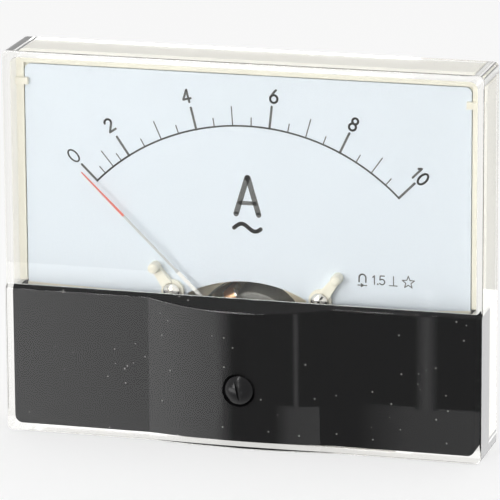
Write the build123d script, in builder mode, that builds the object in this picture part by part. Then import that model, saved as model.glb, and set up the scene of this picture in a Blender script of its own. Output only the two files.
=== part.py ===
from build123d import *
from math import atan2, cos, degrees, radians, sin, sqrt
import os

# Rectangular analog panel meter, in millimetres.
# +Z is up and the dial faces -Y, so +Y goes into the panel. The origin is the centre of
# the four mounting studs, on the plane where the back of the meter seats on its panel.
# A moving coil carries the pointer over a painted dial, behind one clear moulded cover.

# Working margins
cut_margin = 1.0  # how far a cutting form runs past an open face
tolerance = 0.01  # for picking edges by their place

# Clear cover
bezel_w = 100.0
bezel_h = 80.0
cover_depth = 13.6  # from the panel seat to the front of the window
cover_wall = 1.5
corner_r = 1.2
inner_corner_r = 1.6
edge_r = 0.3  # of the cover's front edges
lower_rise = 0.75  # the lower front stands this far in front of the window
bulge_rise = 1.65  # the bulge stands this far in front of the lower front
bulge_half_w = 19.4

# Black mask inside the cover's lower part
mask_gap = 0.05
mask_wall = 1.0
mask_depth = 8.6  # from the cover's lower front to the back of the mask's side walls
mask_corner_r = 0.5  # inside the mask

# Zero adjust screw
zero_screw_drop = 9.0  # below the pointer's pivot
screw_head_r = 2.95
screw_head_rise = 0.9  # the dome's top in front of the bulge
screw_dome_h = 1.1
screw_hole_gap = 0.5  # ring between the head and the cover's hole
screw_neck_r = 1.95
neck_gap = 0.05  # running fit of the neck in the mask
head_seat_gap = 0.02  # head to the mask
screw_slot_w = 0.7
screw_slot_depth = 0.6
screw_slot_tilt = 13.0
sleeve_wall = 1.2
sleeve_len = 0.9
clip_t = 0.4
clip_w = 1.2
clip_play = 0.05  # sleeve to clip
clip_inset = 0.05  # clip to the end of the neck
pin_offset = 0.6  # eccentric of the pin behind the screw
pin_r = 0.45
pin_gap = 0.06  # running fit of the pin in the fork
pin_reach = 0.6  # past the back of the fork

# Dial plate
dial_side_edge = 3.5  # cover's side edge in to the dial's
dial_top_edge = 3.5
dial_below_sill = 3.55
dial_t = 0.8
dial_inset = 5.0  # behind the front of the window
dial_corner_r = 1.2
opening_half_w = 12.5
opening_side_rise = 8.9  # above the pivot, as are the next ones
opening_top_rise = 12.1
dial_screw_x = 15.5
dial_screw_rise = 9.25
dial_screw_r = 1.2
dial_screw_len = 6.0
dial_screw_head_r = 1.75
dial_screw_head_h = 1.3
dial_screw_turn = 35.0
dial_hole_gap = 0.15

# Slotted pan head screws, as shares of the head's height or radius
pan_side = 0.45
pan_crown = 0.12
pan_slot = 0.26
pan_arc = 0.7

# Pointer stops
stop_tip_x = 19.15
stop_tip_rise = 14.2
stop_ring_r = 2.35
stop_root_r = 1.3
stop_screw_gap = 0.2
stop_tip_fillet = 0.7
stop_ring_t = 0.9
stop_tip_r = 1.1
stop_neck_r = 0.8
stop_arm_t = 1.5
stop_tip_h = 3.0

# Moving coil and pointer
pivot_drop = 9.65  # of the pivot below the line where the bevel leaves the window
rest_angle = 135.7  # of the pointer, from +X towards +Z
pointer_len = 47.8
pointer_inset = 3.0  # pointer's plane behind the front of the window
pointer_t = 0.25
pointer_root_w = 0.75
pointer_root_len = 19.5
pointer_step_len = 1.0  # from the root's width to the blade's
pointer_tip_len = 12.0  # length over which the blade thins to its tip
pointer_w = 0.45
pointer_tip_w = 0.2
pointer_hub_r = 1.5
pointer_hub_t = 0.5
hub_overlap = 0.1  # of the hub past the pointer's arm, towards the reader
hub_stack = 0.9  # room on the shaft for the pointer's hub and the balance cross
pointer_crank_start = 4.8
pointer_crank_end = 7.6
coil_angle = 119.0
coil_air_gap = 0.5  # core to former
coil_side_t = 1.45
former_t = 0.35
former_w = 3.0
flange_t = 0.3
winding_sink = 0.1  # of the winding below the former's flanges
coil_corner_r = 0.9
coil_axial_gap = 0.55  # between the core's ends and the former
shaft_r = 0.5
shaft_disc_t = 0.4
pivot_tip_r = 0.08
pivot_cone_len = 0.7

# Magnet, yoke and frame
core_r = 8.5
core_len = 12.0
core_front_y = -4.0
core_chamfer = 0.3
yoke_air_gap = 0.95  # former to yoke
yoke_wall = 2.6
yoke_gap = 2.2  # yoke to the inside of the barrel
yoke_chamfer = 0.25
holder_angle = 155.5
holder_half = 17.0
holder_root = 0.2  # of the tongues into the sleeve
holder_step = 0.4  # from the core's front to the end of the tongues
front_spring_stand = 0.7
rear_spring_stand = 0.5
shaft_stand = 0.9
lever_play = 0.05
rear_spring_room = 1.4
frame_plate_t = 2.2
sleeve_step = 0.2
dial_post_r = 3.0
cap_step = 0.5  # the cap's hole is this much wider than the yoke's
cap_reach = 4.0  # of the cap past the yoke
cap_t = 1.0
cap_end_angle = 15.0
bridge_post_r = 2.4
bridge_post_gap = 0.6
bridge_w = 5.0
bridge_t = 1.0
bridge_foot_t = 1.0
bridge_bend_r = 0.8
bridge_room = 1.7  # front hairspring to the strap
bridge_leg_gap = 0.4
bridge_screw_r = 0.9
bridge_screw_len = 4.0
bridge_hole_gap = 0.1
bridge_head_r = 1.7
bridge_head_h = 1.0
bridge_screw_turn = 20.0
jewel_r = 1.4
jewel_head_r = 2.3
jewel_head_h = 0.8
jewel_slot_w = 0.5
jewel_slot_depth = 0.4
jewel_cup_r = 0.7
jewel_cup_end_r = 0.2
jewel_cup_depth = 0.9
jewel_stand = 1.2
jewel_gap = 0.1
lever_gap = 0.06
lever_t = 0.7
lever_hub_r = 3.0
lever_w = 2.0
fork_w = 3.4
fork_tip = 1.1  # of the fork past the pin
fork_root = 1.6  # of the fork on the near side of the pin's centre
fork_slot_root = 0.75

side_ear_step = 4.2  # outwards from the bridge posts
side_ear_rise = 3.0  # above the pivot
ear_r = 2.8
top_ear_gap = 1.2
frame_screw_r = 1.25
frame_screw_len = 7.0
frame_head_r = 2.2
frame_head_h = 1.6
frame_screw_turn = 60.0

# Hairsprings
spring_turns = 4
spring_in_r = 1.3
collet_gap = 0.08
post_gap = 0.03
post_w = 1.2
post_t = 0.7
post_foot_w = 1.8
post_foot_len = 2.5
post_foot_t = 0.4
spring_pitch = 0.9
spring_t = 0.14
spring_h = 0.5

# Balance cross
arm_w = 0.6
arm_t = 0.35
side_arm_len = 8.0
tail_arm_len = 10.0
cross_hub_r = 1.7
tail_weight_reach = 8.6
side_weight_reach = 7.0
weight_r = 0.85
weight_len = 1.6

# Base housing
base_gap = 0.15  # between the cover's walls and the base
base_floor = 2.5
ledge_w = 1.55
lower_wall_gap = 0.25
rim_stand = 0.05  # of the tray's rim in front of the dial
mask_top_gap = 0.4
dial_side_gap = 0.25
barrel_top_edge = 10.5
barrel_bottom_edge = 3.5
barrel_wall = 1.8
barrel_back = 2.5
barrel_chamfer = 0.8
stud_side_edge = 10.0
stud_top_edge = 9.0
stud_r = 2.0
stud_shoulder_r = 2.4
stud_relief_r = 3.5
stud_relief = 0.5
shoulder_stand = 0.15
stud_len = 14.0
thread_chamfer = 0.4
stud_head_r = 3.6
stud_head_h = 2.4
stud_boss_r = 5.2
stud_boss_h = 5.0
pillar_r = 2.8
lug_drop = 3.5  # below the dial's top edge
lug_w = 1.4
lug_t = 0.9
lug_reach = 1.1

# Terminals and electronics
terminal_x = 14.0
terminal_r = 2.5
terminal_len = 14.0
terminal_stand = 0.8  # past the inner nut
terminal_collar_r = 4.4
terminal_collar_h = 4.9
terminal_nut_h = 3.2
terminal_nut_w = 8.0  # across flats
terminal_washer_r = 5.0
terminal_washer_t = 1.0
board_gap = 2.2
board_t = 1.6
board_hole_gap = 0.3
part_x = 9.5  # columns of small parts left and right of the board's middle
diode_r = 1.1
diode_len = 4.2
diode_span = 8.0
diode_first_rise = 8.0  # above the barrel's axis, as are the next ones
diode_pitch = 4.0
diode_count = 4
resistor_r = 2.0
resistor_len = 8.0
resistor_span = 11.0
resistor_rise = 17.0
trimmer_rise = 9.0
trimmer_w = 8.0
trimmer_h = 4.5
trimmer_head_r = 2.9
trimmer_head_h = 0.6
trimmer_slot_len = 4.8
trimmer_slot_w = 0.65
trimmer_slot_turn = 30.0
lead_r = 0.35
lead_pin_r = 0.3
small_part_lift = 0.5
transformer_edge = 3.4
transformer_gap = 1.0  # behind the rear jewel screw
transformer_w = 18.0
transformer_h = 15.0
stack_h = 5.0
leg_w = 5.0
side_leg_w = 2.6
core_lift = 1.4
bobbin_wall = 0.7
bobbin_gap = 0.2
winding_gap = 0.5

# Planes and lengths worked out from the sizes above
window_y = -cover_depth
flat_y = window_y - lower_rise
bulge_y = flat_y - bulge_rise
coil_half_w = core_r + coil_air_gap  # inside the former, from the axis
yoke_in_r = coil_half_w + coil_side_t + yoke_air_gap
yoke_out_r = yoke_in_r + yoke_wall
sleeve_in_r = yoke_in_r + sleeve_step
bridge_post_x = yoke_out_r + bridge_post_gap + bridge_post_r
bridge_leg_x = bridge_post_x - bridge_post_r - bridge_leg_gap
side_ear_x = bridge_post_x + side_ear_step
pivot_z = -bezel_h / 2 + barrel_bottom_edge + barrel_wall + yoke_gap + yoke_out_r
sill_z = pivot_z + pivot_drop
zero_screw_z = pivot_z - zero_screw_drop
bulge_r = (bulge_half_w**2 + bulge_rise**2) / (2 * bulge_rise)
bulge_centre_y = bulge_y + bulge_r
dial_y = window_y + dial_inset
dial_back_y = dial_y + dial_t
dial_w = bezel_w - 2 * dial_side_edge
dial_top_z = bezel_h / 2 - dial_top_edge
dial_bottom_z = sill_z - dial_below_sill
opening_side_z = pivot_z + opening_side_rise
opening_top_z = pivot_z + opening_top_rise
dial_screw_z = pivot_z + dial_screw_rise
stop_tip_z = pivot_z + stop_tip_rise
pointer_y = window_y + pointer_inset
mask_back_y = flat_y + mask_depth
mask_front_y = bulge_y + cover_wall + mask_gap
mask_inner_y = mask_front_y + mask_wall
screw_hole_r = screw_head_r + screw_hole_gap
pin_z = zero_screw_z - pin_offset
core_back_y = core_front_y + core_len
coil_front_y = core_front_y - coil_axial_gap
coil_back_y = core_back_y + coil_axial_gap
coil_outer_front_y = coil_front_y - coil_side_t
coil_outer_back_y = coil_back_y + coil_side_t
rear_spring_y = coil_outer_back_y + shaft_disc_t + rear_spring_stand
frame_plate_y = rear_spring_y + spring_h + rear_spring_room
frame_back_y = frame_plate_y + frame_plate_t
pointer_hub_y = coil_outer_front_y - shaft_disc_t - hub_stack
cross_y = pointer_hub_y + pointer_hub_t - hub_overlap
collet_r = spring_in_r - spring_t / 2 - collet_gap
spring_out_r = spring_in_r + spring_pitch * spring_turns
spring_post_r = spring_out_r + spring_t / 2 + post_gap + post_t / 2
front_spring_y = pointer_hub_y - front_spring_stand
bridge_y = front_spring_y - bridge_room  # back face of the bridge's strap
lever_y = bridge_y - bridge_t - lever_play  # back face of the zero lever
jewel_head_y = lever_y - lever_t - lever_play
front_shaft_end_y = pointer_hub_y - shaft_stand
front_tip_y = front_shaft_end_y - pivot_cone_len
front_cup_y = front_tip_y - jewel_gap
rear_shaft_end_y = frame_plate_y - shaft_stand
rear_tip_y = rear_shaft_end_y + pivot_cone_len
rear_cup_y = rear_tip_y + jewel_gap
side_ear_z = pivot_z + side_ear_rise
top_ear_z = pivot_z + yoke_out_r + top_ear_gap + ear_r
ear_places = ((-side_ear_x, side_ear_z), (side_ear_x, side_ear_z), (0, top_ear_z))
barrel_r = (bezel_h - barrel_top_edge - barrel_bottom_edge) / 2
barrel_z = -bezel_h / 2 + barrel_bottom_edge + barrel_r
rear_jewel_back_y = frame_back_y + jewel_stand
board_front_y = rear_jewel_back_y + transformer_gap + stack_h + 2 * core_lift
board_back_y = board_front_y + board_t
barrel_floor_y = board_back_y + terminal_collar_h
barrel_end_y = barrel_floor_y + barrel_back
stud_x = bezel_w / 2 - stud_side_edge
stud_z = bezel_h / 2 - stud_top_edge
board_r = barrel_r - barrel_wall - board_gap
window_w = (transformer_w - leg_w) / 2 - side_leg_w
transformer_reach = sqrt((barrel_r - barrel_wall - transformer_edge) ** 2 - (transformer_w / 2) ** 2)
transformer_z = barrel_z - transformer_reach + transformer_h / 2


def facing(y):
    """A sketch plane at depth y that faces the viewer: local x is X, local y is Z."""
    return Plane.XZ.offset(-y)


def on_pivot(y):
    """The same plane with its origin on the pivot axis."""
    return Plane(origin=(0, y, pivot_z), x_dir=(1, 0, 0), z_dir=(0, -1, 0))


def turned(points, x, z):
    """A closed half profile of (radius, y) points, to be revolved about the line along Y at x, z."""
    with BuildSketch(Plane(origin=(x, 0, z), x_dir=(1, 0, 0), z_dir=(0, 0, 1))) as half:
        with BuildLine():
            Polyline(*points, close=True)
        make_face()
    return half.sketch


def axis_at(x, z):
    """The line along Y at x, z."""
    return Axis((x, 0, z), (0, 1, 0))


def polar(radius, angle, centre_x=0.0, centre_z=0.0):
    """X and Z of a point at an angle from +X towards +Z."""
    return (centre_x + radius * cos(radians(angle)), centre_z + radius * sin(radians(angle)))


def bezel_form(inset, back_y, round_r):
    """The cover's outer form moved inwards by inset, solid back to back_y, with rounded corners."""
    half_w = bezel_w / 2 - inset
    half_h = bezel_h / 2 - inset
    window = window_y + inset
    flat = flat_y + inset
    sill = sill_z - inset * (sqrt(2) - 1)
    arc_r = bulge_r - inset
    arc_half = sqrt(arc_r**2 - (bulge_centre_y - flat) ** 2)
    arc_top = bulge_centre_y - arc_r
    root = flat + lower_rise / 2
    nose = arc_top - cut_margin
    with BuildPart() as form:
        with BuildSketch(Plane.XY.offset(-half_h)):
            with BuildLine():
                ThreePointArc((-arc_half, flat), (0, arc_top), (arc_half, flat))
                Polyline((arc_half, flat), (arc_half, root), (-arc_half, root), (-arc_half, flat))
            make_face()
        extrude(amount=half_h + sill)
        with BuildSketch(Plane.YZ):
            with BuildLine():
                Polyline(
                    (root, -half_h), (root, sill - (window - root)), (nose, sill - (window - nose)),
                    (nose, -half_h), close=True
                )
            make_face()
        extrude(amount=bezel_w, both=True, mode=Mode.INTERSECT)
        with BuildSketch(Plane.YZ):
            with BuildLine():
                Polyline(
                    (back_y, -half_h), (back_y, half_h), (window, half_h), (window, sill),
                    (flat, sill - lower_rise), (flat, -half_h), close=True
                )
            make_face()
        extrude(amount=half_w, both=True)
        corners = form.edges().filter_by(Axis.Y).filter_by(lambda e: abs(e.center().X) > half_w - tolerance)
        fillet(corners, radius=round_r)
    return form.part


def pan_screw(x, z, seat_y, reach, shank_r, head_r, head_h, slot_turn):
    """A slotted pan head screw along +Y whose head stands in front of seat_y."""
    front = seat_y - head_h
    shoulder = front + head_h * pan_side
    with BuildPart() as screw:
        with BuildSketch(Plane(origin=(x, 0, z), x_dir=(1, 0, 0), z_dir=(0, 0, 1))):
            with BuildLine():
                Polyline(
                    (0, front), (0, seat_y + reach), (shank_r, seat_y + reach), (shank_r, seat_y),
                    (head_r, seat_y), (head_r, shoulder)
                )
                ThreePointArc((head_r, shoulder), (head_r * pan_arc, front + head_h * pan_crown), (0, front))
            make_face()
        revolve(axis=axis_at(x, z))
        with BuildSketch(facing(shoulder)):
            with Locations((x, z)):
                Rectangle(head_r * pan_slot, 3 * head_r, rotation=slot_turn)
        extrude(amount=head_h, mode=Mode.SUBTRACT)
    return screw.part


def is_crease(edge):
    """True for the soft lines up the front where the bulge meets the flats."""
    by_bulge = abs(edge.center().X) < bulge_half_w + edge_r
    upright = abs(edge.tangent_at(0).Z) > 0.9
    return by_bulge and upright and edge.length > bezel_h / 4


os.makedirs("parts", exist_ok=True)

# Clear cover: one moulding, open at the back, with the hole for the zero adjust screw.
with BuildPart() as front_cover:
    add(bezel_form(0, 0, corner_r))
    front_edges = front_cover.edges().filter_by(lambda e: e.bounding_box().max.Y < window_y + tolerance)
    fillet(front_edges.filter_by(lambda e: not is_crease(e)), radius=edge_r)
    add(bezel_form(cover_wall, cut_margin, inner_corner_r), mode=Mode.SUBTRACT)
    with BuildSketch(facing(mask_front_y)):
        with Locations((0, zero_screw_z)):
            Circle(screw_hole_r)
    extrude(amount=cover_wall + bulge_rise, mode=Mode.SUBTRACT)
front_cover.part.label = "front_cover"
export_step(front_cover.part, "parts/front_cover.step")

# Black mask: follows the inside of the cover's lower front, with short side and bottom walls
# and a sleeve in which the zero adjust screw turns.
mask_inset = cover_wall + mask_gap
mask_top_z = sill_z - mask_inset * (sqrt(2) - 1)
with BuildPart() as black_mask:
    add(bezel_form(mask_inset, mask_back_y, inner_corner_r - mask_gap))
    add(bezel_form(mask_inset + mask_wall, mask_back_y + cut_margin, mask_corner_r), mode=Mode.SUBTRACT)
    with BuildSketch(Plane.XY.offset(mask_top_z)):
        Rectangle(bezel_w, 2 * bezel_h)
    extrude(amount=bezel_h, mode=Mode.SUBTRACT)
    with BuildSketch(facing(mask_inner_y + sleeve_len)):
        with Locations((0, zero_screw_z)):
            Circle(screw_neck_r + neck_gap + sleeve_wall)
    extrude(amount=sleeve_len + mask_wall / 2)
    with BuildSketch(facing(mask_inner_y + sleeve_len)):
        with Locations((0, zero_screw_z)):
            Circle(screw_neck_r + neck_gap)
    extrude(amount=sleeve_len + 2 * mask_wall, mode=Mode.SUBTRACT)
black_mask.part.label = "black_mask"
export_step(black_mask.part, "parts/black_mask.step")

# Zero adjust screw: slotted dome, neck, and an eccentric pin that reaches into the fork.
head_back_y = mask_front_y - head_seat_gap
dome_y = bulge_y - screw_head_rise
dome_r = (screw_head_r**2 + screw_dome_h**2) / (2 * screw_dome_h)
clip_back_y = mask_inner_y + sleeve_len + clip_play + clip_t
neck_back_y = clip_back_y + clip_inset
pin_back_y = lever_y + pin_reach
with BuildPart() as zero_adjust_screw:
    with BuildSketch(Plane.XY.offset(zero_screw_z)):
        with BuildLine():
            Polyline(
                (0, dome_y), (0, neck_back_y), (screw_neck_r, neck_back_y), (screw_neck_r, head_back_y),
                (screw_head_r, head_back_y), (screw_head_r, dome_y + screw_dome_h)
            )
            RadiusArc((screw_head_r, dome_y + screw_dome_h), (0, dome_y), dome_r)
        make_face()
    revolve(axis=axis_at(0, zero_screw_z))
    with BuildSketch(facing(dome_y + screw_slot_depth)):
        with Locations((0, zero_screw_z)):
            Rectangle(screw_slot_w, 3 * screw_head_r, rotation=screw_slot_tilt)
    extrude(amount=screw_dome_h, mode=Mode.SUBTRACT)
    with BuildSketch(facing(pin_back_y)):
        with Locations((0, pin_z)):
            Circle(pin_r)
    extrude(amount=pin_back_y - neck_back_y)
zero_adjust_screw.part.label = "zero_adjust_screw"
export_step(zero_adjust_screw.part, "parts/zero_adjust_screw.step")

# Clip pressed on the neck behind the sleeve.
with BuildPart() as zero_screw_clip:
    with BuildSketch(facing(clip_back_y)):
        with Locations((0, zero_screw_z)):
            Circle(screw_neck_r + clip_w)
            Circle(screw_neck_r, mode=Mode.SUBTRACT)
    extrude(amount=clip_t)
zero_screw_clip.part.label = "zero_screw_clip"
export_step(zero_screw_clip.part, "parts/zero_screw_clip.step")

# Dial plate: flat painted sheet, cut away in a shallow arch over the movement.
with BuildPart() as dial_plate:
    with BuildSketch(facing(dial_back_y)) as dial_face:
        dial_h = dial_top_z - dial_bottom_z
        with Locations((0, (dial_top_z + dial_bottom_z) / 2)):
            Rectangle(dial_w, dial_h)
        fillet(dial_face.vertices(), radius=dial_corner_r)
        with BuildLine():
            left_end = (-opening_half_w, opening_side_z)
            right_end = (opening_half_w, opening_side_z)
            ThreePointArc(left_end, (0, opening_top_z), right_end)
            Polyline(
                right_end, (opening_half_w, dial_bottom_z - cut_margin),
                (-opening_half_w, dial_bottom_z - cut_margin), left_end
            )
        make_face(mode=Mode.SUBTRACT)
        with Locations((-dial_screw_x, dial_screw_z), (dial_screw_x, dial_screw_z)):
            Circle(dial_screw_r + dial_hole_gap, mode=Mode.SUBTRACT)
    extrude(amount=dial_t)
dial_plate.part.label = "dial_plate"
export_step(dial_plate.part, "parts/dial_plate.step")

# Pointer stops: a ring under the dial screw and an arm that ends in an upright round post.
stop_dx = stop_tip_x - dial_screw_x
stop_dz = stop_tip_z - dial_screw_z
stop_len = sqrt(stop_dx**2 + stop_dz**2)
for side, name in ((-1, "left_pointer_stop"), (1, "right_pointer_stop")):
    stop_angle = degrees(atan2(stop_dz, side * stop_dx))
    screw_at = (side * dial_screw_x, dial_screw_z)
    tip_at = (side * stop_tip_x, stop_tip_z)
    with BuildPart() as stop:
        with BuildSketch(facing(dial_y)):
            with Locations(screw_at):
                Circle(stop_ring_r)
        extrude(amount=stop_ring_t)
        stop_dir = (cos(radians(stop_angle)), 0, sin(radians(stop_angle)))
        with BuildSketch(Plane(origin=(screw_at[0], dial_y, screw_at[1]), x_dir=stop_dir, z_dir=(0, -1, 0))):
            with BuildLine():
                Polyline(
                    (0, -stop_root_r), (stop_len, -stop_neck_r), (stop_len, stop_neck_r), (0, stop_root_r),
                    close=True
                )
            make_face()
        extrude(amount=stop_arm_t)
        with BuildSketch(facing(dial_y)):
            with Locations(tip_at):
                Circle(stop_tip_r)
        extrude(amount=stop_tip_h)
        fillet(stop.faces().sort_by(Axis.Y)[0].edges(), radius=stop_tip_fillet)
        with BuildSketch(facing(dial_y)):
            with Locations(screw_at):
                Circle(dial_screw_r + dial_hole_gap)
        extrude(amount=stop_tip_h, mode=Mode.SUBTRACT)
        with BuildSketch(facing(dial_y - stop_ring_t)):
            with Locations(screw_at):
                Circle(dial_screw_head_r + stop_screw_gap)
        extrude(amount=stop_tip_h, mode=Mode.SUBTRACT)
    stop.part.label = name
    export_step(stop.part, f"parts/{name}.step")

# Dial screws: slotted pan heads that clamp the stops and the dial to the frame's posts.
with BuildPart() as dial_screws:
    for side in (-1, 1):
        add(pan_screw(
            side * dial_screw_x, dial_screw_z, dial_y - stop_ring_t, stop_ring_t + dial_t + dial_screw_len,
            dial_screw_r, dial_screw_head_r, dial_screw_head_h, -side * dial_screw_turn
        ))
dial_screws.part.label = "dial_screws"
export_step(dial_screws.part, "parts/dial_screws.step")

# Pointer: hub ring, cranked arm and a blade that thins to the tip.
with BuildPart() as pointer:
    pointer_dir = (cos(radians(rest_angle)), 0, sin(radians(rest_angle)))
    pointer_side = (-sin(radians(rest_angle)), 0, cos(radians(rest_angle)))
    blade_start = pointer_root_len + pointer_step_len
    taper_start = pointer_len - pointer_tip_len
    with BuildSketch(Plane(origin=(0, 0, pivot_z), x_dir=pointer_dir, z_dir=(0, -1, 0))):
        with BuildLine():
            Polyline(
                (0, pointer_root_w / 2), (pointer_root_len, pointer_root_w / 2),
                (blade_start, pointer_w / 2), (taper_start, pointer_w / 2), (pointer_len, pointer_tip_w / 2),
                (pointer_len, -pointer_tip_w / 2), (taper_start, -pointer_w / 2),
                (blade_start, -pointer_w / 2), (pointer_root_len, -pointer_root_w / 2),
                (0, -pointer_root_w / 2), close=True
            )
        make_face()
    extrude(amount=cover_depth)
    with BuildSketch(Plane(origin=(0, 0, pivot_z), x_dir=pointer_dir, z_dir=pointer_side)):
        with BuildLine():
            Polyline(
                (shaft_r, pointer_hub_y), (pointer_crank_start, pointer_hub_y),
                (pointer_crank_end, pointer_y), (pointer_len, pointer_y),
                (pointer_len, pointer_y + pointer_t), (pointer_crank_end, pointer_y + pointer_t),
                (pointer_crank_start, pointer_hub_y + pointer_t), (shaft_r, pointer_hub_y + pointer_t),
                close=True
            )
        make_face()
    extrude(amount=pointer_hub_r, both=True, mode=Mode.INTERSECT)
    with BuildSketch(on_pivot(cross_y)):
        Circle(pointer_hub_r)
    extrude(amount=pointer_hub_t)
    with BuildSketch(on_pivot(cross_y)):
        Circle(shaft_r)
    extrude(amount=2 * pointer_hub_t, mode=Mode.SUBTRACT)
pointer.part.label = "pointer"
export_step(pointer.part, "parts/pointer.step")

# Balance cross: a tail arm opposite the pointer and two side arms, on one hub.
with BuildPart() as balance_cross:
    with BuildSketch(on_pivot(cross_y + arm_t)):
        Circle(cross_hub_r)
        for turn, length in ((180, tail_arm_len), (90, side_arm_len), (-90, side_arm_len)):
            with Locations(polar(length / 2, rest_angle + turn)):
                Rectangle(length, arm_w, rotation=rest_angle + turn)
        Circle(shaft_r, mode=Mode.SUBTRACT)
    extrude(amount=arm_t)
balance_cross.part.label = "balance_cross"
export_step(balance_cross.part, "parts/balance_cross.step")

# Balance weights: short turned sleeves pushed onto the arms.
with BuildPart() as balance_weights:
    for turn, place in ((180, tail_weight_reach), (90, side_weight_reach), (-90, side_weight_reach)):
        arm_dir = rest_angle + turn
        x, z = polar(place - weight_len / 2, arm_dir, 0, pivot_z)
        sleeve_plane = Plane(
            origin=(x, cross_y + arm_t / 2, z), x_dir=(0, 1, 0),
            z_dir=(cos(radians(arm_dir)), 0, sin(radians(arm_dir)))
        )
        with BuildSketch(sleeve_plane):
            Circle(weight_r)
            Rectangle(arm_t, arm_w, mode=Mode.SUBTRACT)
        extrude(amount=weight_len)
balance_weights.part.label = "balance_weights"
export_step(balance_weights.part, "parts/balance_weights.step")

# Moving coil: a channel former bent into a rectangle, filled with the winding.
coil_plane = Plane(
    origin=(0, (coil_front_y + coil_back_y) / 2, pivot_z),
    x_dir=(cos(radians(coil_angle)), 0, sin(radians(coil_angle))),
    z_dir=(-sin(radians(coil_angle)), 0, cos(radians(coil_angle)))
)
coil_len = coil_back_y - coil_front_y


def coil_loop(inner, outer, width):
    """A rounded rectangular loop around the core, between two thicknesses of the coil side."""
    with BuildPart() as loop:
        with BuildSketch(coil_plane):
            RectangleRounded(2 * (coil_half_w + outer), coil_len + 2 * outer, coil_corner_r + outer)
            RectangleRounded(
                2 * (coil_half_w + inner), coil_len + 2 * inner, coil_corner_r + inner, mode=Mode.SUBTRACT
            )
        extrude(amount=width / 2, both=True)
    return loop.part


with BuildPart() as coil_former:
    add(coil_loop(0, coil_side_t, former_w))
    add(coil_loop(former_t, coil_side_t + former_t, former_w - 2 * flange_t), mode=Mode.SUBTRACT)
coil_former.part.label = "coil_former"
export_step(coil_former.part, "parts/coil_former.step")

with BuildPart() as coil_winding:
    add(coil_loop(former_t, coil_side_t - winding_sink, former_w - 2 * flange_t))
coil_winding.part.label = "coil_winding"
export_step(coil_winding.part, "parts/coil_winding.step")

# Half shafts: a disc cemented to each end of the coil, a steel shaft and a conical pivot.
disc_r = former_w / 2
with BuildPart() as front_half_shaft:
    front_points = (
        (0, coil_outer_front_y), (disc_r, coil_outer_front_y), (disc_r, coil_outer_front_y - shaft_disc_t),
        (shaft_r, coil_outer_front_y - shaft_disc_t), (shaft_r, front_spring_y + spring_h),
        (collet_r, front_spring_y + spring_h), (collet_r, front_spring_y), (shaft_r, front_spring_y),
        (shaft_r, front_shaft_end_y), (pivot_tip_r, front_tip_y), (0, front_tip_y)
    )
    revolve(turned(front_points, 0, pivot_z), axis=axis_at(0, pivot_z))
front_half_shaft.part.label = "front_half_shaft"
export_step(front_half_shaft.part, "parts/front_half_shaft.step")

with BuildPart() as rear_half_shaft:
    rear_points = (
        (0, coil_outer_back_y), (disc_r, coil_outer_back_y), (disc_r, coil_outer_back_y + shaft_disc_t),
        (shaft_r, coil_outer_back_y + shaft_disc_t), (shaft_r, rear_spring_y), (collet_r, rear_spring_y),
        (collet_r, rear_spring_y + spring_h), (shaft_r, rear_spring_y + spring_h),
        (shaft_r, rear_shaft_end_y), (pivot_tip_r, rear_tip_y), (0, rear_tip_y)
    )
    revolve(turned(rear_points, 0, pivot_z), axis=axis_at(0, pivot_z))
rear_half_shaft.part.label = "rear_half_shaft"
export_step(rear_half_shaft.part, "parts/rear_half_shaft.step")


def hairspring(front_y, hand):
    """A flat spiral ribbon of half-turn arcs around the shaft, wound one way or the other."""
    with BuildPart() as spring:
        with BuildSketch(on_pivot(front_y + spring_h)):
            with BuildLine():
                for offset in (-spring_t / 2, spring_t / 2):
                    for half_turn in range(2 * spring_turns):
                        side = -1 if half_turn % 2 == 0 else 1
                        start_r = spring_in_r + spring_pitch * half_turn / 2 + offset
                        end_r = start_r + spring_pitch / 2
                        middle = (-hand * side * (start_r + end_r) / 2, -side * spring_pitch / 4)
                        ThreePointArc((0, side * start_r), middle, (0, -side * end_r))
                for end in (spring_in_r, spring_out_r):
                    Line((0, -end + spring_t / 2), (0, -end - spring_t / 2))
            make_face()
        extrude(amount=spring_h)
    return spring.part


# Hairsprings: they return the pointer and carry the current to the coil.
with BuildPart() as front_hairspring:
    add(hairspring(front_spring_y, 1))
front_hairspring.part.label = "front_hairspring"
export_step(front_hairspring.part, "parts/front_hairspring.step")

with BuildPart() as rear_hairspring:
    add(hairspring(rear_spring_y, -1))
rear_hairspring.part.label = "rear_hairspring"
export_step(rear_hairspring.part, "parts/rear_hairspring.step")

# Front jewel screw: the head presses on the zero lever, the thread holds in the bridge and the
# cup at its end takes the pivot.
with BuildPart() as front_jewel_screw:
    jewel_front_y = jewel_head_y - jewel_head_h
    cup_rim_y = front_cup_y + jewel_cup_depth
    front_jewel_points = (
        (0, jewel_front_y), (jewel_head_r, jewel_front_y), (jewel_head_r, jewel_head_y),
        (jewel_r, jewel_head_y), (jewel_r, cup_rim_y), (jewel_cup_r, cup_rim_y),
        (jewel_cup_end_r, front_cup_y), (0, front_cup_y)
    )
    revolve(turned(front_jewel_points, 0, pivot_z), axis=axis_at(0, pivot_z))
    with BuildSketch(on_pivot(jewel_front_y + jewel_slot_depth)):
        Rectangle(3 * jewel_head_r, jewel_slot_w)
    extrude(amount=jewel_slot_depth + cut_margin, mode=Mode.SUBTRACT)
front_jewel_screw.part.label = "front_jewel_screw"
export_step(front_jewel_screw.part, "parts/front_jewel_screw.step")

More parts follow.
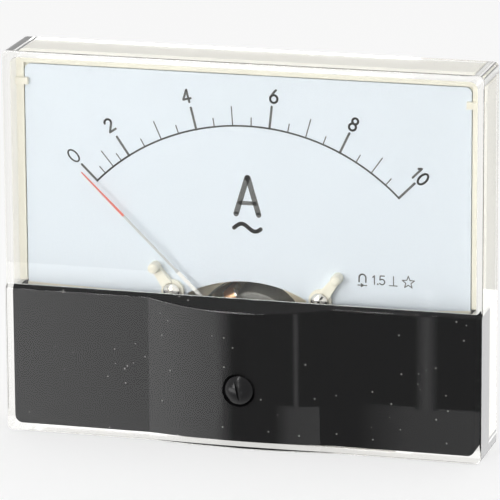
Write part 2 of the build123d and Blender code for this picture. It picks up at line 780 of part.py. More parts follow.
# Rear jewel screw: set from behind in the frame's plate.
with BuildPart() as rear_jewel_screw:
    rear_rim_y = rear_cup_y - jewel_cup_depth
    rear_jewel_points = (
        (0, rear_cup_y), (jewel_cup_end_r, rear_cup_y), (jewel_cup_r, rear_rim_y), (jewel_r, rear_rim_y),
        (jewel_r, rear_jewel_back_y), (0, rear_jewel_back_y)
    )
    revolve(turned(rear_jewel_points, 0, pivot_z), axis=axis_at(0, pivot_z))
    with BuildSketch(on_pivot(rear_jewel_back_y + cut_margin)):
        Rectangle(3 * jewel_r, jewel_slot_w)
    extrude(amount=cut_margin + jewel_slot_depth, mode=Mode.SUBTRACT)
rear_jewel_screw.part.label = "rear_jewel_screw"
export_step(rear_jewel_screw.part, "parts/rear_jewel_screw.step")

# Zero lever: turns on the front jewel screw, and its fork takes the eccentric pin.
fork_slot_w = 2 * (pin_r + pin_gap)
fork_reach = pivot_z - pin_z
fork_end = fork_reach + pin_r + fork_tip
with BuildPart() as zero_lever:
    with BuildSketch(on_pivot(lever_y)):
        Circle(lever_hub_r)
        with Locations((0, -fork_reach / 2)):
            Rectangle(lever_w, fork_reach)
        with Locations((0, -(fork_reach - fork_root + fork_end) / 2)):
            Rectangle(fork_w, fork_end - fork_reach + fork_root)
        with Locations((0, -(fork_reach - fork_slot_root + fork_end + cut_margin) / 2)):
            Rectangle(fork_slot_w, fork_end + cut_margin - fork_reach + fork_slot_root, mode=Mode.SUBTRACT)
        Circle(jewel_r + lever_gap, mode=Mode.SUBTRACT)
    extrude(amount=lever_t)
    with BuildSketch(on_pivot(front_spring_y + spring_h)):
        with Locations((0, -spring_post_r)):
            Rectangle(post_w, post_t)
    extrude(amount=front_spring_y + spring_h - lever_y)
zero_lever.part.label = "zero_lever"
export_step(zero_lever.part, "parts/zero_lever.step")

# Rear spring arm: fixed post for the outer end of the rear hairspring.
with BuildPart() as rear_spring_arm:
    with BuildSketch(on_pivot(frame_plate_y)):
        with Locations((0, -spring_post_r)):
            Rectangle(post_w, post_t)
    extrude(amount=frame_plate_y - rear_spring_y)
    with BuildSketch(on_pivot(frame_plate_y)):
        with Locations((0, -spring_post_r - (post_foot_len - post_t) / 2)):
            Rectangle(post_foot_w, post_foot_len)
    extrude(amount=post_foot_t)
rear_spring_arm.part.label = "rear_spring_arm"
export_step(rear_spring_arm.part, "parts/rear_spring_arm.step")

# Core magnet and the soft iron yoke ring around it.
with BuildPart() as core_magnet:
    with BuildSketch(on_pivot(core_back_y)):
        Circle(core_r)
    extrude(amount=core_len)
    chamfer(core_magnet.edges().filter_by(GeomType.CIRCLE), length=core_chamfer)
core_magnet.part.label = "core_magnet"
export_step(core_magnet.part, "parts/core_magnet.step")

with BuildPart() as yoke_ring:
    with BuildSketch(on_pivot(core_back_y)):
        Circle(yoke_out_r)
        Circle(yoke_in_r, mode=Mode.SUBTRACT)
    extrude(amount=core_len)
    chamfer(yoke_ring.edges().filter_by(GeomType.CIRCLE), length=yoke_chamfer)
yoke_ring.part.label = "yoke_ring"
export_step(yoke_ring.part, "parts/yoke_ring.step")

# Movement frame: a moulded plate with the sleeve behind the yoke, two tongues that hold the
# core in the air gap, posts for the dial and for the bridge, a cap over the yoke's upper half that
# joins the dial's posts, and three ears for the frame's screws.
with BuildPart() as movement_frame:
    with BuildSketch(facing(frame_back_y)):
        with Locations((0, pivot_z)):
            Circle(yoke_out_r)
        with Locations(*ear_places):
            Circle(ear_r)
        with Locations((-dial_screw_x, dial_screw_z), (dial_screw_x, dial_screw_z)):
            Circle(dial_post_r)
        with Locations((-bridge_post_x, pivot_z), (bridge_post_x, pivot_z)):
            Circle(bridge_post_r)
        with Locations((0, pivot_z)):
            Rectangle(2 * bridge_post_x, 2 * bridge_post_r)
        with Locations((0, (pivot_z + top_ear_z) / 2)):
            Rectangle(2 * ear_r, top_ear_z - pivot_z)
        for side in (-1, 1):
            with BuildLine():
                Polyline(
                    (0, pivot_z), (side * dial_screw_x, dial_screw_z + dial_post_r),
                    (side * (dial_screw_x + dial_post_r), dial_screw_z),
                    (side * (side_ear_x + ear_r), side_ear_z), (side * side_ear_x, side_ear_z - ear_r),
                    close=True
                )
            make_face()
    extrude(amount=frame_plate_t)
    with BuildSketch(on_pivot(frame_plate_y)):
        Circle(yoke_out_r)
        Circle(sleeve_in_r, mode=Mode.SUBTRACT)
    extrude(amount=frame_plate_y - core_back_y)
    with BuildSketch(on_pivot(frame_plate_y)):
        for centre in (holder_angle, holder_angle + 180):
            first = centre - holder_half
            last = centre + holder_half
            with BuildLine():
                CenterArc((0, 0), sleeve_in_r + holder_root, first, 2 * holder_half)
                CenterArc((0, 0), core_r, first, 2 * holder_half)
                Line(polar(core_r, first), polar(sleeve_in_r + holder_root, first))
                Line(polar(core_r, last), polar(sleeve_in_r + holder_root, last))
            make_face()
    extrude(amount=frame_plate_y - core_back_y)
    with BuildSketch(on_pivot(core_back_y)):
        for centre in (holder_angle, holder_angle + 180):
            first = centre - holder_half
            last = centre + holder_half
            with BuildLine():
                CenterArc((0, 0), yoke_in_r, first, 2 * holder_half)
                CenterArc((0, 0), core_r, first, 2 * holder_half)
                Line(polar(core_r, first), polar(yoke_in_r, first))
                Line(polar(core_r, last), polar(yoke_in_r, last))
            make_face()
    extrude(amount=core_len - holder_step)
    with BuildSketch(facing(frame_plate_y)):
        with Locations((-dial_screw_x, dial_screw_z), (dial_screw_x, dial_screw_z)):
            Circle(dial_post_r)
    extrude(amount=frame_plate_y - dial_back_y)
    with BuildSketch(facing(frame_plate_y)):
        with Locations((-bridge_post_x, pivot_z), (bridge_post_x, pivot_z)):
            Circle(bridge_post_r)
    extrude(amount=frame_plate_y - core_front_y)
    with BuildSketch(on_pivot(core_front_y)):
        with BuildLine():
            CenterArc((0, 0), yoke_out_r + cap_reach, cap_end_angle, 180 - 2 * cap_end_angle)
            CenterArc((0, 0), yoke_in_r + cap_step, cap_end_angle, 180 - 2 * cap_end_angle)
            for angle in (cap_end_angle, 180 - cap_end_angle):
                Line(polar(yoke_in_r + cap_step, angle), polar(yoke_out_r + cap_reach, angle))
        make_face()
    extrude(amount=cap_t)
    with BuildSketch(facing(dial_back_y + dial_screw_len)):
        with Locations((-dial_screw_x, dial_screw_z), (dial_screw_x, dial_screw_z)):
            Circle(dial_screw_r)
    extrude(amount=dial_screw_len, mode=Mode.SUBTRACT)
    with BuildSketch(facing(core_front_y + bridge_screw_len)):
        with Locations((-bridge_post_x, pivot_z), (bridge_post_x, pivot_z)):
            Circle(bridge_screw_r)
    extrude(amount=bridge_screw_len, mode=Mode.SUBTRACT)
    with BuildSketch(facing(frame_back_y)):
        with Locations(*ear_places):
            Circle(frame_screw_r)
        with Locations((0, pivot_z)):
            Circle(jewel_r)
    extrude(amount=frame_plate_t, mode=Mode.SUBTRACT)
movement_frame.part.label = "movement_frame"
export_step(movement_frame.part, "parts/movement_frame.step")

# Front bridge: a strap across the front of the movement on two bent legs, screwed to the posts.
bridge_foot_x = bridge_post_x + bridge_post_r
with BuildPart() as front_bridge:
    with BuildSketch(Plane.XY.offset(pivot_z - bridge_w / 2)):
        with BuildLine():
            Polyline(
                (-bridge_foot_x, core_front_y), (-bridge_foot_x, core_front_y - bridge_foot_t),
                (-bridge_leg_x, core_front_y - bridge_foot_t), (-bridge_leg_x, bridge_y - bridge_t),
                (bridge_leg_x, bridge_y - bridge_t), (bridge_leg_x, core_front_y - bridge_foot_t),
                (bridge_foot_x, core_front_y - bridge_foot_t), (bridge_foot_x, core_front_y),
                (bridge_leg_x - bridge_t, core_front_y), (bridge_leg_x - bridge_t, bridge_y),
                (-bridge_leg_x + bridge_t, bridge_y), (-bridge_leg_x + bridge_t, core_front_y), close=True
            )
        make_face()
    extrude(amount=bridge_w)
    outer_bends = front_bridge.edges().filter_by(Axis.Z).group_by(Axis.Y)[0]
    fillet(outer_bends, radius=bridge_bend_r)
    with BuildSketch(facing(core_front_y)):
        with Locations((-bridge_post_x, pivot_z), (bridge_post_x, pivot_z)):
            Circle(bridge_screw_r + bridge_hole_gap)
    extrude(amount=bridge_foot_t, mode=Mode.SUBTRACT)
    with BuildSketch(on_pivot(bridge_y)):
        Circle(jewel_r)
    extrude(amount=bridge_t, mode=Mode.SUBTRACT)
front_bridge.part.label = "front_bridge"
export_step(front_bridge.part, "parts/front_bridge.step")

# Bridge screws into the frame's posts.
with BuildPart() as bridge_screws:
    for side in (-1, 1):
        add(pan_screw(
            side * bridge_post_x, pivot_z, core_front_y - bridge_foot_t, bridge_foot_t + bridge_screw_len,
            bridge_screw_r, bridge_head_r, bridge_head_h, side * bridge_screw_turn
        ))
bridge_screws.part.label = "bridge_screws"
export_step(bridge_screws.part, "parts/bridge_screws.step")

# Frame screws hold the movement to the base's pillars.
with BuildPart() as frame_screws:
    for x, z in ear_places:
        add(pan_screw(
            x, z, frame_plate_y, frame_plate_t + frame_screw_len, frame_screw_r, frame_head_r, frame_head_h,
            frame_screw_turn
        ))
frame_screws.part.label = "frame_screws"
export_step(frame_screws.part, "parts/frame_screws.step")

# Base housing: shallow tray with the dial's ledge, round barrel, pillars and stud bosses.
tray_w = bezel_w - 2 * (cover_wall + base_gap)
tray_h = bezel_h - 2 * (cover_wall + base_gap)
pocket_w = dial_w + 2 * dial_side_gap
pocket_h = tray_h - (tray_w - pocket_w)
wall_front_y = dial_y - rim_stand
lower_wall_y = mask_back_y + lower_wall_gap
wall_split_z = mask_top_z + mask_top_gap
with BuildPart() as base_housing:
    with BuildSketch(facing(0)) as tray_face:
        Rectangle(tray_w, tray_h)
        fillet(tray_face.vertices(), radius=inner_corner_r - base_gap)
    extrude(amount=-wall_front_y)
    with BuildSketch(facing(-base_floor)):
        Rectangle(pocket_w - 2 * ledge_w, pocket_h - 2 * ledge_w)
    extrude(amount=-wall_front_y, mode=Mode.SUBTRACT)
    with BuildSketch(facing(dial_back_y)):
        Rectangle(pocket_w, pocket_h)
    extrude(amount=dial_t + cut_margin, mode=Mode.SUBTRACT)
    with BuildSketch(facing(lower_wall_y)):
        with Locations((0, wall_split_z - bezel_h / 2)):
            Rectangle(bezel_w, bezel_h)
    extrude(amount=bezel_h, mode=Mode.SUBTRACT)
    with BuildSketch(facing(-base_floor)):
        with Locations((0, (wall_split_z - pocket_h / 2) / 2)):
            Rectangle(pocket_w, wall_split_z + pocket_h / 2)
    extrude(amount=base_floor, mode=Mode.SUBTRACT)
    with BuildSketch(facing(barrel_end_y)):
        with Locations((0, barrel_z)):
            Circle(barrel_r)
    extrude(amount=barrel_end_y)
    with BuildSketch(facing(barrel_floor_y)):
        with Locations((0, barrel_z)):
            Circle(barrel_r - barrel_wall)
    extrude(amount=barrel_floor_y + base_floor, mode=Mode.SUBTRACT)
    back_rim = base_housing.faces().sort_by(Axis.Y)[-1].edges()
    chamfer(back_rim, length=barrel_chamfer)
    with BuildSketch(facing(0)):
        with GridLocations(2 * stud_x, 2 * stud_z, 2, 2):
            Circle(stud_boss_r)
    extrude(amount=stud_boss_h)
    with BuildSketch(facing(0)):
        with GridLocations(2 * stud_x, 2 * stud_z, 2, 2):
            Circle(stud_shoulder_r)
    extrude(amount=stud_boss_h, mode=Mode.SUBTRACT)
    with BuildSketch(facing(0)):
        with GridLocations(2 * stud_x, 2 * stud_z, 2, 2):
            Circle(stud_relief_r)
    extrude(amount=stud_relief, mode=Mode.SUBTRACT)
    with BuildSketch(facing(stud_head_h - stud_boss_h)):
        with GridLocations(2 * stud_x, 2 * stud_z, 2, 2):
            RegularPolygon(stud_head_r, 6)
    extrude(amount=stud_head_h, mode=Mode.SUBTRACT)
    with BuildSketch(facing(barrel_floor_y)):
        with Locations(*ear_places):
            Circle(pillar_r)
    extrude(amount=barrel_floor_y - frame_back_y)
    with BuildSketch(facing(frame_back_y + frame_screw_len)):
        with Locations(*ear_places):
            Circle(frame_screw_r)
    extrude(amount=frame_screw_len, mode=Mode.SUBTRACT)
    with BuildSketch(facing(barrel_floor_y)):
        with Locations((-terminal_x, barrel_z), (terminal_x, barrel_z)):
            Circle(terminal_collar_r)
    extrude(amount=terminal_collar_h)
    with BuildSketch(facing(barrel_end_y)):
        with Locations((-terminal_x, barrel_z), (terminal_x, barrel_z)):
            Circle(terminal_r)
    extrude(amount=barrel_back + terminal_collar_h, mode=Mode.SUBTRACT)
    lug_x = pocket_w / 2 - lug_reach / 2 + (tray_w - pocket_w) / 4
    with BuildSketch(facing(wall_front_y)):
        with Locations((-lug_x, dial_top_z - lug_drop), (lug_x, dial_top_z - lug_drop)):
            Rectangle(lug_reach + (tray_w - pocket_w) / 2, lug_w)
    extrude(amount=lug_t)
base_housing.part.label = "base_housing"
export_step(base_housing.part, "parts/base_housing.step")

# Mounting studs: hexagon heads moulded into the base's bosses, shanks through the panel.
with BuildPart() as mounting_studs:
    with BuildSketch(facing(stud_head_h - stud_boss_h)):
        with GridLocations(2 * stud_x, 2 * stud_z, 2, 2):
            RegularPolygon(stud_head_r, 6)
    extrude(amount=stud_head_h)
    shoulder_end_y = shoulder_stand - stud_relief
    with BuildSketch(facing(shoulder_end_y)):
        with GridLocations(2 * stud_x, 2 * stud_z, 2, 2):
            Circle(stud_shoulder_r)
    extrude(amount=shoulder_end_y - (stud_head_h - stud_boss_h))
    with BuildSketch(facing(stud_len)):
        with GridLocations(2 * stud_x, 2 * stud_z, 2, 2):
            Circle(stud_r)
    extrude(amount=stud_len - shoulder_end_y)
    stud_ends = mounting_studs.edges().filter_by(GeomType.CIRCLE).group_by(Axis.Y)[-1]
    chamfer(stud_ends, length=thread_chamfer)
mounting_studs.part.label = "mounting_studs"
export_step(mounting_studs.part, "parts/mounting_studs.step")

# Terminal studs with their nuts and washers: one nut inside holds the board, two outside hold the leads.
terminal_front_y = board_front_y - terminal_nut_h - terminal_stand
terminal_end_y = barrel_end_y + terminal_len
with BuildPart() as terminal_studs:
    with BuildSketch(facing(terminal_end_y)):
        with Locations((-terminal_x, barrel_z), (terminal_x, barrel_z)):
            Circle(terminal_r)
    extrude(amount=terminal_end_y - terminal_front_y)
    terminal_ends = terminal_studs.edges().filter_by(GeomType.CIRCLE).group_by(Axis.Y)
    chamfer(terminal_ends[0] + terminal_ends[-1], length=thread_chamfer)
terminal_studs.part.label = "terminal_studs"
export_step(terminal_studs.part, "parts/terminal_studs.step")

nut_corner_r = terminal_nut_w / 2 / cos(radians(30))
inner_nut_y = board_front_y - terminal_nut_h
first_nut_y = barrel_end_y + terminal_washer_t
second_nut_y = first_nut_y + terminal_nut_h + terminal_washer_t
with BuildPart() as terminal_nuts:
    for front in (inner_nut_y, first_nut_y, second_nut_y):
        with BuildSketch(facing(front + terminal_nut_h)):
            with Locations((-terminal_x, barrel_z), (terminal_x, barrel_z)):
                RegularPolygon(nut_corner_r, 6)
                Circle(terminal_r, mode=Mode.SUBTRACT)
        extrude(amount=terminal_nut_h)
terminal_nuts.part.label = "terminal_nuts"
export_step(terminal_nuts.part, "parts/terminal_nuts.step")

with BuildPart() as terminal_washers:
    for front in (barrel_end_y, first_nut_y + terminal_nut_h):
        with BuildSketch(facing(front + terminal_washer_t)):
            with Locations((-terminal_x, barrel_z), (terminal_x, barrel_z)):
                Circle(terminal_washer_r)
                Circle(terminal_r, mode=Mode.SUBTRACT)
        extrude(amount=terminal_washer_t)
terminal_washers.part.label = "terminal_washers"
export_step(terminal_washers.part, "parts/terminal_washers.step")

# Circuit board: a disc over the pillars, clamped between the terminal collars and the inner nuts.
with BuildPart() as circuit_board:
    with BuildSketch(facing(board_back_y)):
        with Locations((0, barrel_z)):
            Circle(board_r)
        with Locations(*ear_places):
            Circle(pillar_r + board_hole_gap, mode=Mode.SUBTRACT)
        with Locations((-terminal_x, barrel_z), (terminal_x, barrel_z)):
            Circle(terminal_r, mode=Mode.SUBTRACT)
    extrude(amount=board_t)
circuit_board.part.label = "circuit_board"
export_step(circuit_board.part, "parts/circuit_board.step")


def lying_part(x, z, radius, length, body_lift, lead_span):
    """A small round part lying along X in front of the board, on its two bent leads."""
    centre_y = board_front_y - body_lift - radius
    with BuildPart() as body:
        with BuildSketch(Plane.YZ.offset(x - length / 2)):
            with Locations((centre_y, z)):
                Circle(radius)
        extrude(amount=length)
        with BuildSketch(Plane.YZ.offset(x - lead_span / 2)):
            with Locations((centre_y, z)):
                Circle(lead_r)
        extrude(amount=lead_span)
        with BuildSketch(facing(board_front_y)):
            with Locations((x - lead_span / 2 + lead_r, z), (x + lead_span / 2 - lead_r, z)):
                Circle(lead_pin_r)
        extrude(amount=board_front_y - centre_y)
    return body.part


# Rectifier diodes, one above the other.
with BuildPart() as rectifier_diodes:
    for row in range(diode_count):
        diode_z = barrel_z + diode_first_rise + diode_pitch * row
        add(lying_part(-part_x, diode_z, diode_r, diode_len, small_part_lift, diode_span))
rectifier_diodes.part.label = "rectifier_diodes"
export_step(rectifier_diodes.part, "parts/rectifier_diodes.step")

with BuildPart() as series_resistor:
    resistor_z = barrel_z + resistor_rise
    add(lying_part(part_x, resistor_z, resistor_r, resistor_len, small_part_lift, resistor_span))
series_resistor.part.label = "series_resistor"
export_step(series_resistor.part, "parts/series_resistor.step")

# Trim resistor: a small block with a slotted turning head.
trimmer_at = (part_x, barrel_z + trimmer_rise)
with BuildPart() as trim_resistor:
    with BuildSketch(facing(board_front_y)):
        with Locations(trimmer_at):
            Rectangle(trimmer_w, trimmer_w)
    extrude(amount=trimmer_h)
    with BuildSketch(facing(board_front_y - trimmer_h)):
        with Locations(trimmer_at):
            Circle(trimmer_head_r)
            Rectangle(trimmer_slot_len, trimmer_slot_w, rotation=trimmer_slot_turn, mode=Mode.SUBTRACT)
    extrude(amount=trimmer_head_h)
trim_resistor.part.label = "trim_resistor"
export_step(trim_resistor.part, "parts/trim_resistor.step")

# Current transformer: laminated core with two windows and a wound bobbin on the middle leg.
with BuildPart() as transformer_core:
    with BuildSketch(facing(board_front_y - core_lift)):
        with Locations((0, transformer_z)):
            Rectangle(transformer_w, transformer_h)
        with Locations((-(leg_w + window_w) / 2, transformer_z), ((leg_w + window_w) / 2, transformer_z)):
            Rectangle(window_w, transformer_h - 2 * side_leg_w, mode=Mode.SUBTRACT)
    extrude(amount=stack_h)
transformer_core.part.label = "transformer_core"
export_step(transformer_core.part, "parts/transformer_core.step")

bobbin_h = transformer_h - 2 * side_leg_w
with BuildPart() as transformer_bobbin:
    with BuildSketch(Plane.XY.offset(transformer_z - bobbin_h / 2)):
        with Locations((0, board_front_y - core_lift - stack_h / 2)):
            Rectangle(leg_w + 2 * bobbin_wall, stack_h + 2 * bobbin_wall)
            Rectangle(leg_w, stack_h, mode=Mode.SUBTRACT)
    extrude(amount=bobbin_h)
    for start in (transformer_z - bobbin_h / 2, transformer_z + bobbin_h / 2 - bobbin_wall):
        with BuildSketch(Plane.XY.offset(start)):
            with Locations((0, board_front_y - core_lift - stack_h / 2)):
                Rectangle(leg_w + 2 * window_w - 2 * bobbin_gap, stack_h + 2 * core_lift)
                Rectangle(leg_w, stack_h, mode=Mode.SUBTRACT)
        extrude(amount=bobbin_wall)
transformer_bobbin.part.label = "transformer_bobbin"
export_step(transformer_bobbin.part, "parts/transformer_bobbin.step")

with BuildPart() as transformer_winding:
    with BuildSketch(Plane.XY.offset(transformer_z - bobbin_h / 2 + bobbin_wall)):
        with Locations((0, board_front_y - core_lift - stack_h / 2)):
            RectangleRounded(
                leg_w + 2 * window_w - 2 * winding_gap, stack_h + 2 * core_lift - winding_gap, bobbin_wall
            )
            Rectangle(leg_w + 2 * bobbin_wall, stack_h + 2 * bobbin_wall, mode=Mode.SUBTRACT)
    extrude(amount=bobbin_h - 2 * bobbin_wall)
transformer_winding.part.label = "transformer_winding"
export_step(transformer_winding.part, "parts/transformer_winding.step")
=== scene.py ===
# %% [markdown]
# # An analog panel meter
# The meter has one clear moulded cover, and everything else is seen through it or behind it:
# a pale printed dial, a thin red pointer, a black lower front and a little of the movement.
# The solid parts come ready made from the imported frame. This script adds the printing, the
# threads, the finishes, the light and the camera.

# %% Load the frame
import math

import bmesh
import bpy
from mathutils import Matrix, Vector


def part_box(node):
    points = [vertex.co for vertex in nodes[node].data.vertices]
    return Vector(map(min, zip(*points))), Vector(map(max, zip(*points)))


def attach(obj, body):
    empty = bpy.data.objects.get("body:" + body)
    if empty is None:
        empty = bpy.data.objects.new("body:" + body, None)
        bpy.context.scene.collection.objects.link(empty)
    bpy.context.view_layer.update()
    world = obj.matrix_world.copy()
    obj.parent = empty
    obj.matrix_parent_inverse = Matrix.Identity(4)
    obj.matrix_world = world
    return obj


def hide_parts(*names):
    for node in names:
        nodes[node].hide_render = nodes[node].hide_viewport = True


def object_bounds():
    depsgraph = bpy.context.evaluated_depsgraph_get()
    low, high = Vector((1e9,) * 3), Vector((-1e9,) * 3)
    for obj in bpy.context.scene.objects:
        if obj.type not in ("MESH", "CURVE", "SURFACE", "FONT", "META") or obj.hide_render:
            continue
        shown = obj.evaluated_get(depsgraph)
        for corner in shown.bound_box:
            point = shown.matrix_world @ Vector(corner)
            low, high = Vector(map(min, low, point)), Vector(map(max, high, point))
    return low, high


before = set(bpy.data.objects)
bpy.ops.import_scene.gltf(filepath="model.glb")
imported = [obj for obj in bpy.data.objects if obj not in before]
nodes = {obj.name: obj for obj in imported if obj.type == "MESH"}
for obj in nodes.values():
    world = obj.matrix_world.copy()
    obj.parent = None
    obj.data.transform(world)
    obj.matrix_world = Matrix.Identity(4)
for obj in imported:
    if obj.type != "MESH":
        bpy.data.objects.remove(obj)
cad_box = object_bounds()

MM = 0.001
WELD = 0.001 * MM
WHITE = (1, 1, 1, 1)
print("CAD box in mm:", [[round(v / MM, 2) for v in corner] for corner in cad_box])


# %% Mesh helper
def stand(name, shape, *materials):
    """Turn a bmesh into an object in the scene, with its materials."""
    mesh = bpy.data.meshes.new(name)
    shape.to_mesh(mesh)
    shape.free()
    for material in materials:
        mesh.materials.append(material)
    made = bpy.data.objects.new(name, mesh)
    bpy.context.scene.collection.objects.link(made)
    print(name, "has", len(mesh.polygons), "faces")
    return made


# %% [markdown]
# ## Camera
# A product photograph of a small object is taken from far away with a long lens, so the bezel's
# edges stay almost parallel. The camera stands about 15 degrees to the right and 15 above, and its
# distance was found by fitting the corners of the bezel and the dial.

# %% Camera
VIEW_AZIMUTH = math.radians(15.41)
VIEW_ELEVATION = math.radians(15.03)
VIEW_ROLL = math.radians(-0.36)
VIEW_DISTANCE = 948.2 * MM
AIM_RIGHT = 1.88 * MM
AIM_UP = 1.35 * MM
COVER_FRONT_Y = -13.6 * MM
LENS_LENGTH = 338.5
SENSOR_WIDTH = 36
NEAREST = 0.05
FARTHEST = 20

back = Vector((
    math.sin(VIEW_AZIMUTH) * math.cos(VIEW_ELEVATION),
    -math.cos(VIEW_AZIMUTH) * math.cos(VIEW_ELEVATION),
    math.sin(VIEW_ELEVATION),
))
right = Vector((math.cos(VIEW_AZIMUTH), math.sin(VIEW_AZIMUTH), 0))
up = back.cross(right)
right, up = (
    math.cos(VIEW_ROLL) * right + math.sin(VIEW_ROLL) * up,
    -math.sin(VIEW_ROLL) * right + math.cos(VIEW_ROLL) * up,
)
spot = Vector((0, COVER_FRONT_Y, 0)) + VIEW_DISTANCE * back + AIM_RIGHT * right + AIM_UP * up

lens = bpy.data.cameras.new("camera")
lens.lens = LENS_LENGTH
lens.sensor_width = SENSOR_WIDTH
lens.sensor_fit = "HORIZONTAL"
lens.clip_start = NEAREST
lens.clip_end = FARTHEST
camera = bpy.data.objects.new("camera", lens)
camera.matrix_world = Matrix((
    (right.x, up.x, back.x, spot.x),
    (right.y, up.y, back.y, spot.y),
    (right.z, up.z, back.z, spot.z),
    (0, 0, 0, 1),
))
bpy.context.scene.collection.objects.link(camera)
bpy.context.scene.camera = camera
print("camera at", [round(v, 4) for v in spot])

# %% [markdown]
# ## Shared shader groups
# Moulded plastic is never quite flat, metal has fine scratches, and everything gathers a little
# dust. Each of these effects could be built anew in every material. Here each is one node group
# with named inputs, so that every finish below can use it with its own scale and strength. The
# groups put out only values and normals, and the shader itself stays in the material.


# %% Node helpers
def wire(tree, source, target):
    """Link an output to an input."""
    tree.links.new(source, target)


def add_math(tree, operation, *values):
    """A math node; each value fills the input at its place, and None leaves it for a wire."""
    node = tree.nodes.new("ShaderNodeMath")
    node.operation = operation
    for socket, value in zip(node.inputs, values):
        if value is not None:
            socket.default_value = value
    return node


def add_ramp(tree, stops, interpolation="LINEAR"):
    """A colour ramp with two or more stops of (position, colour), in rising order."""
    node = tree.nodes.new("ShaderNodeValToRGB")
    ramp = node.color_ramp
    ramp.interpolation = interpolation
    for index, (position, colour) in enumerate(stops):
        element = ramp.elements[index] if index < 2 else ramp.elements.new(position)
        element.position = position
        element.color = (*colour, 1)
    return node


def new_group(name, inputs, outputs):
    """An empty shader group; inputs are (label, kind, value) and outputs (label, kind)."""
    group = bpy.data.node_groups.new(name, "ShaderNodeTree")
    for label, kind, value in inputs:
        socket = group.interface.new_socket(label, in_out="INPUT", socket_type=kind)
        socket.default_value = value
    for label, kind in outputs:
        group.interface.new_socket(label, in_out="OUTPUT", socket_type=kind)
    enter = group.nodes.new("NodeGroupInput")
    leave = group.nodes.new("NodeGroupOutput")
    return group, enter, leave


def ripple(group, enter, leave, height, distance):
    """Turn a height from 0 to 1 into a bumped normal and a roughness that varies with it."""
    bump = group.nodes.new("ShaderNodeBump")
    bump.inputs["Distance"].default_value = distance
    middle = add_math(group, "SUBTRACT", None, 0.5)
    vary = add_math(group, "MULTIPLY_ADD")
    wire(group, enter.outputs["Strength"], bump.inputs["Strength"])
    wire(group, height, bump.inputs["Height"])
    wire(group, height, middle.inputs[0])
    wire(group, middle.outputs[0], vary.inputs[0])
    wire(group, enter.outputs["Spread"], vary.inputs[1])
    wire(group, enter.outputs["Roughness"], vary.inputs[2])
    wire(group, bump.outputs["Normal"], leave.inputs["Normal"])
    wire(group, vary.outputs[0], leave.inputs["Roughness"])


# %% Orange peel: the faint waviness of moulded plastic
PEEL_DETAIL = 3
PEEL_DEPTH = 0.2 * MM
RIPPLE_OUTPUTS = [("Normal", "NodeSocketVector"), ("Roughness", "NodeSocketFloat")]
orange_peel, enter, leave = new_group(
    "orange peel",
    [
        ("Scale", "NodeSocketFloat", 300.0),
        ("Strength", "NodeSocketFloat", 0.05),
        ("Roughness", "NodeSocketFloat", 0.2),
        ("Spread", "NodeSocketFloat", 0.05),
    ],
    RIPPLE_OUTPUTS,
)
place = orange_peel.nodes.new("ShaderNodeTexCoord")
waves = orange_peel.nodes.new("ShaderNodeTexNoise")
waves.inputs["Detail"].default_value = PEEL_DETAIL
wire(orange_peel, place.outputs["Object"], waves.inputs["Vector"])
wire(orange_peel, enter.outputs["Scale"], waves.inputs["Scale"])
ripple(orange_peel, enter, leave, waves.outputs["Fac"], PEEL_DEPTH)
print("orange peel:", len(orange_peel.nodes), "nodes")

# %% Grain: fine scratches along one direction, for turned and drawn metal
GRAIN_DETAIL = 2
GRAIN_DEPTH = 0.05 * MM
grain, enter, leave = new_group(
    "grain",
    [
        ("Stretch", "NodeSocketVector", (3000.0, 200.0, 3000.0)),
        ("Strength", "NodeSocketFloat", 0.1),
        ("Roughness", "NodeSocketFloat", 0.3),
        ("Spread", "NodeSocketFloat", 0.2),
    ],
    RIPPLE_OUTPUTS,
)
place = grain.nodes.new("ShaderNodeTexCoord")
stretch = grain.nodes.new("ShaderNodeMapping")
lines = grain.nodes.new("ShaderNodeTexNoise")
lines.inputs["Scale"].default_value = 1
lines.inputs["Detail"].default_value = GRAIN_DETAIL
wire(grain, place.outputs["Object"], stretch.inputs["Vector"])
wire(grain, enter.outputs["Stretch"], stretch.inputs["Scale"])
wire(grain, stretch.outputs["Vector"], lines.inputs["Vector"])
ripple(grain, enter, leave, lines.outputs["Fac"], GRAIN_DEPTH)
print("grain:", len(grain.nodes), "nodes")

# %% Specks: sparse dust, as a mask from 0 to 1
specks, enter, leave = new_group(
    "specks",
    [
        ("Scale", "NodeSocketFloat", 900.0),
        ("Size", "NodeSocketFloat", 0.06),
        ("Share", "NodeSocketFloat", 0.02),
    ],
    [("Mask", "NodeSocketFloat")],
)
place = specks.nodes.new("ShaderNodeTexCoord")
cells = specks.nodes.new("ShaderNodeTexVoronoi")
near = add_math(specks, "LESS_THAN")
split = specks.nodes.new("ShaderNodeSeparateColor")
rare = add_math(specks, "LESS_THAN")
both = add_math(specks, "MULTIPLY")
wire(specks, place.outputs["Object"], cells.inputs["Vector"])
wire(specks, enter.outputs["Scale"], cells.inputs["Scale"])
wire(specks, cells.outputs["Distance"], near.inputs[0])
wire(specks, enter.outputs["Size"], near.inputs[1])
wire(specks, cells.outputs["Color"], split.inputs["Color"])
wire(specks, split.outputs["Red"], rare.inputs[0])
wire(specks, enter.outputs["Share"], rare.inputs[1])
wire(specks, near.outputs[0], both.inputs[0])
wire(specks, rare.outputs[0], both.inputs[1])
wire(specks, both.outputs[0], leave.inputs["Mask"])
print("specks:", len(specks.nodes), "nodes")

# %% [markdown]
# ## Kinds of material
# Nearly everything in the meter is moulded plastic or worked metal. Each kind is one function, so
# a finish needs only its colour and the few numbers in which it differs from its neighbours.


# %% Material helpers
def principled(material):
    """The Principled shader of a material."""
    return material.node_tree.nodes["Principled BSDF"]


def new_material(name, colour, roughness, metallic=0.0):
    """A material with a Principled shader set to plain values."""
    material = bpy.data.materials.new(name)
    material.use_nodes = True
    shader = principled(material)
    shader.inputs["Base Color"].default_value = (*colour, 1)
    shader.inputs["Roughness"].default_value = roughness
    shader.inputs["Metallic"].default_value = metallic
    return material


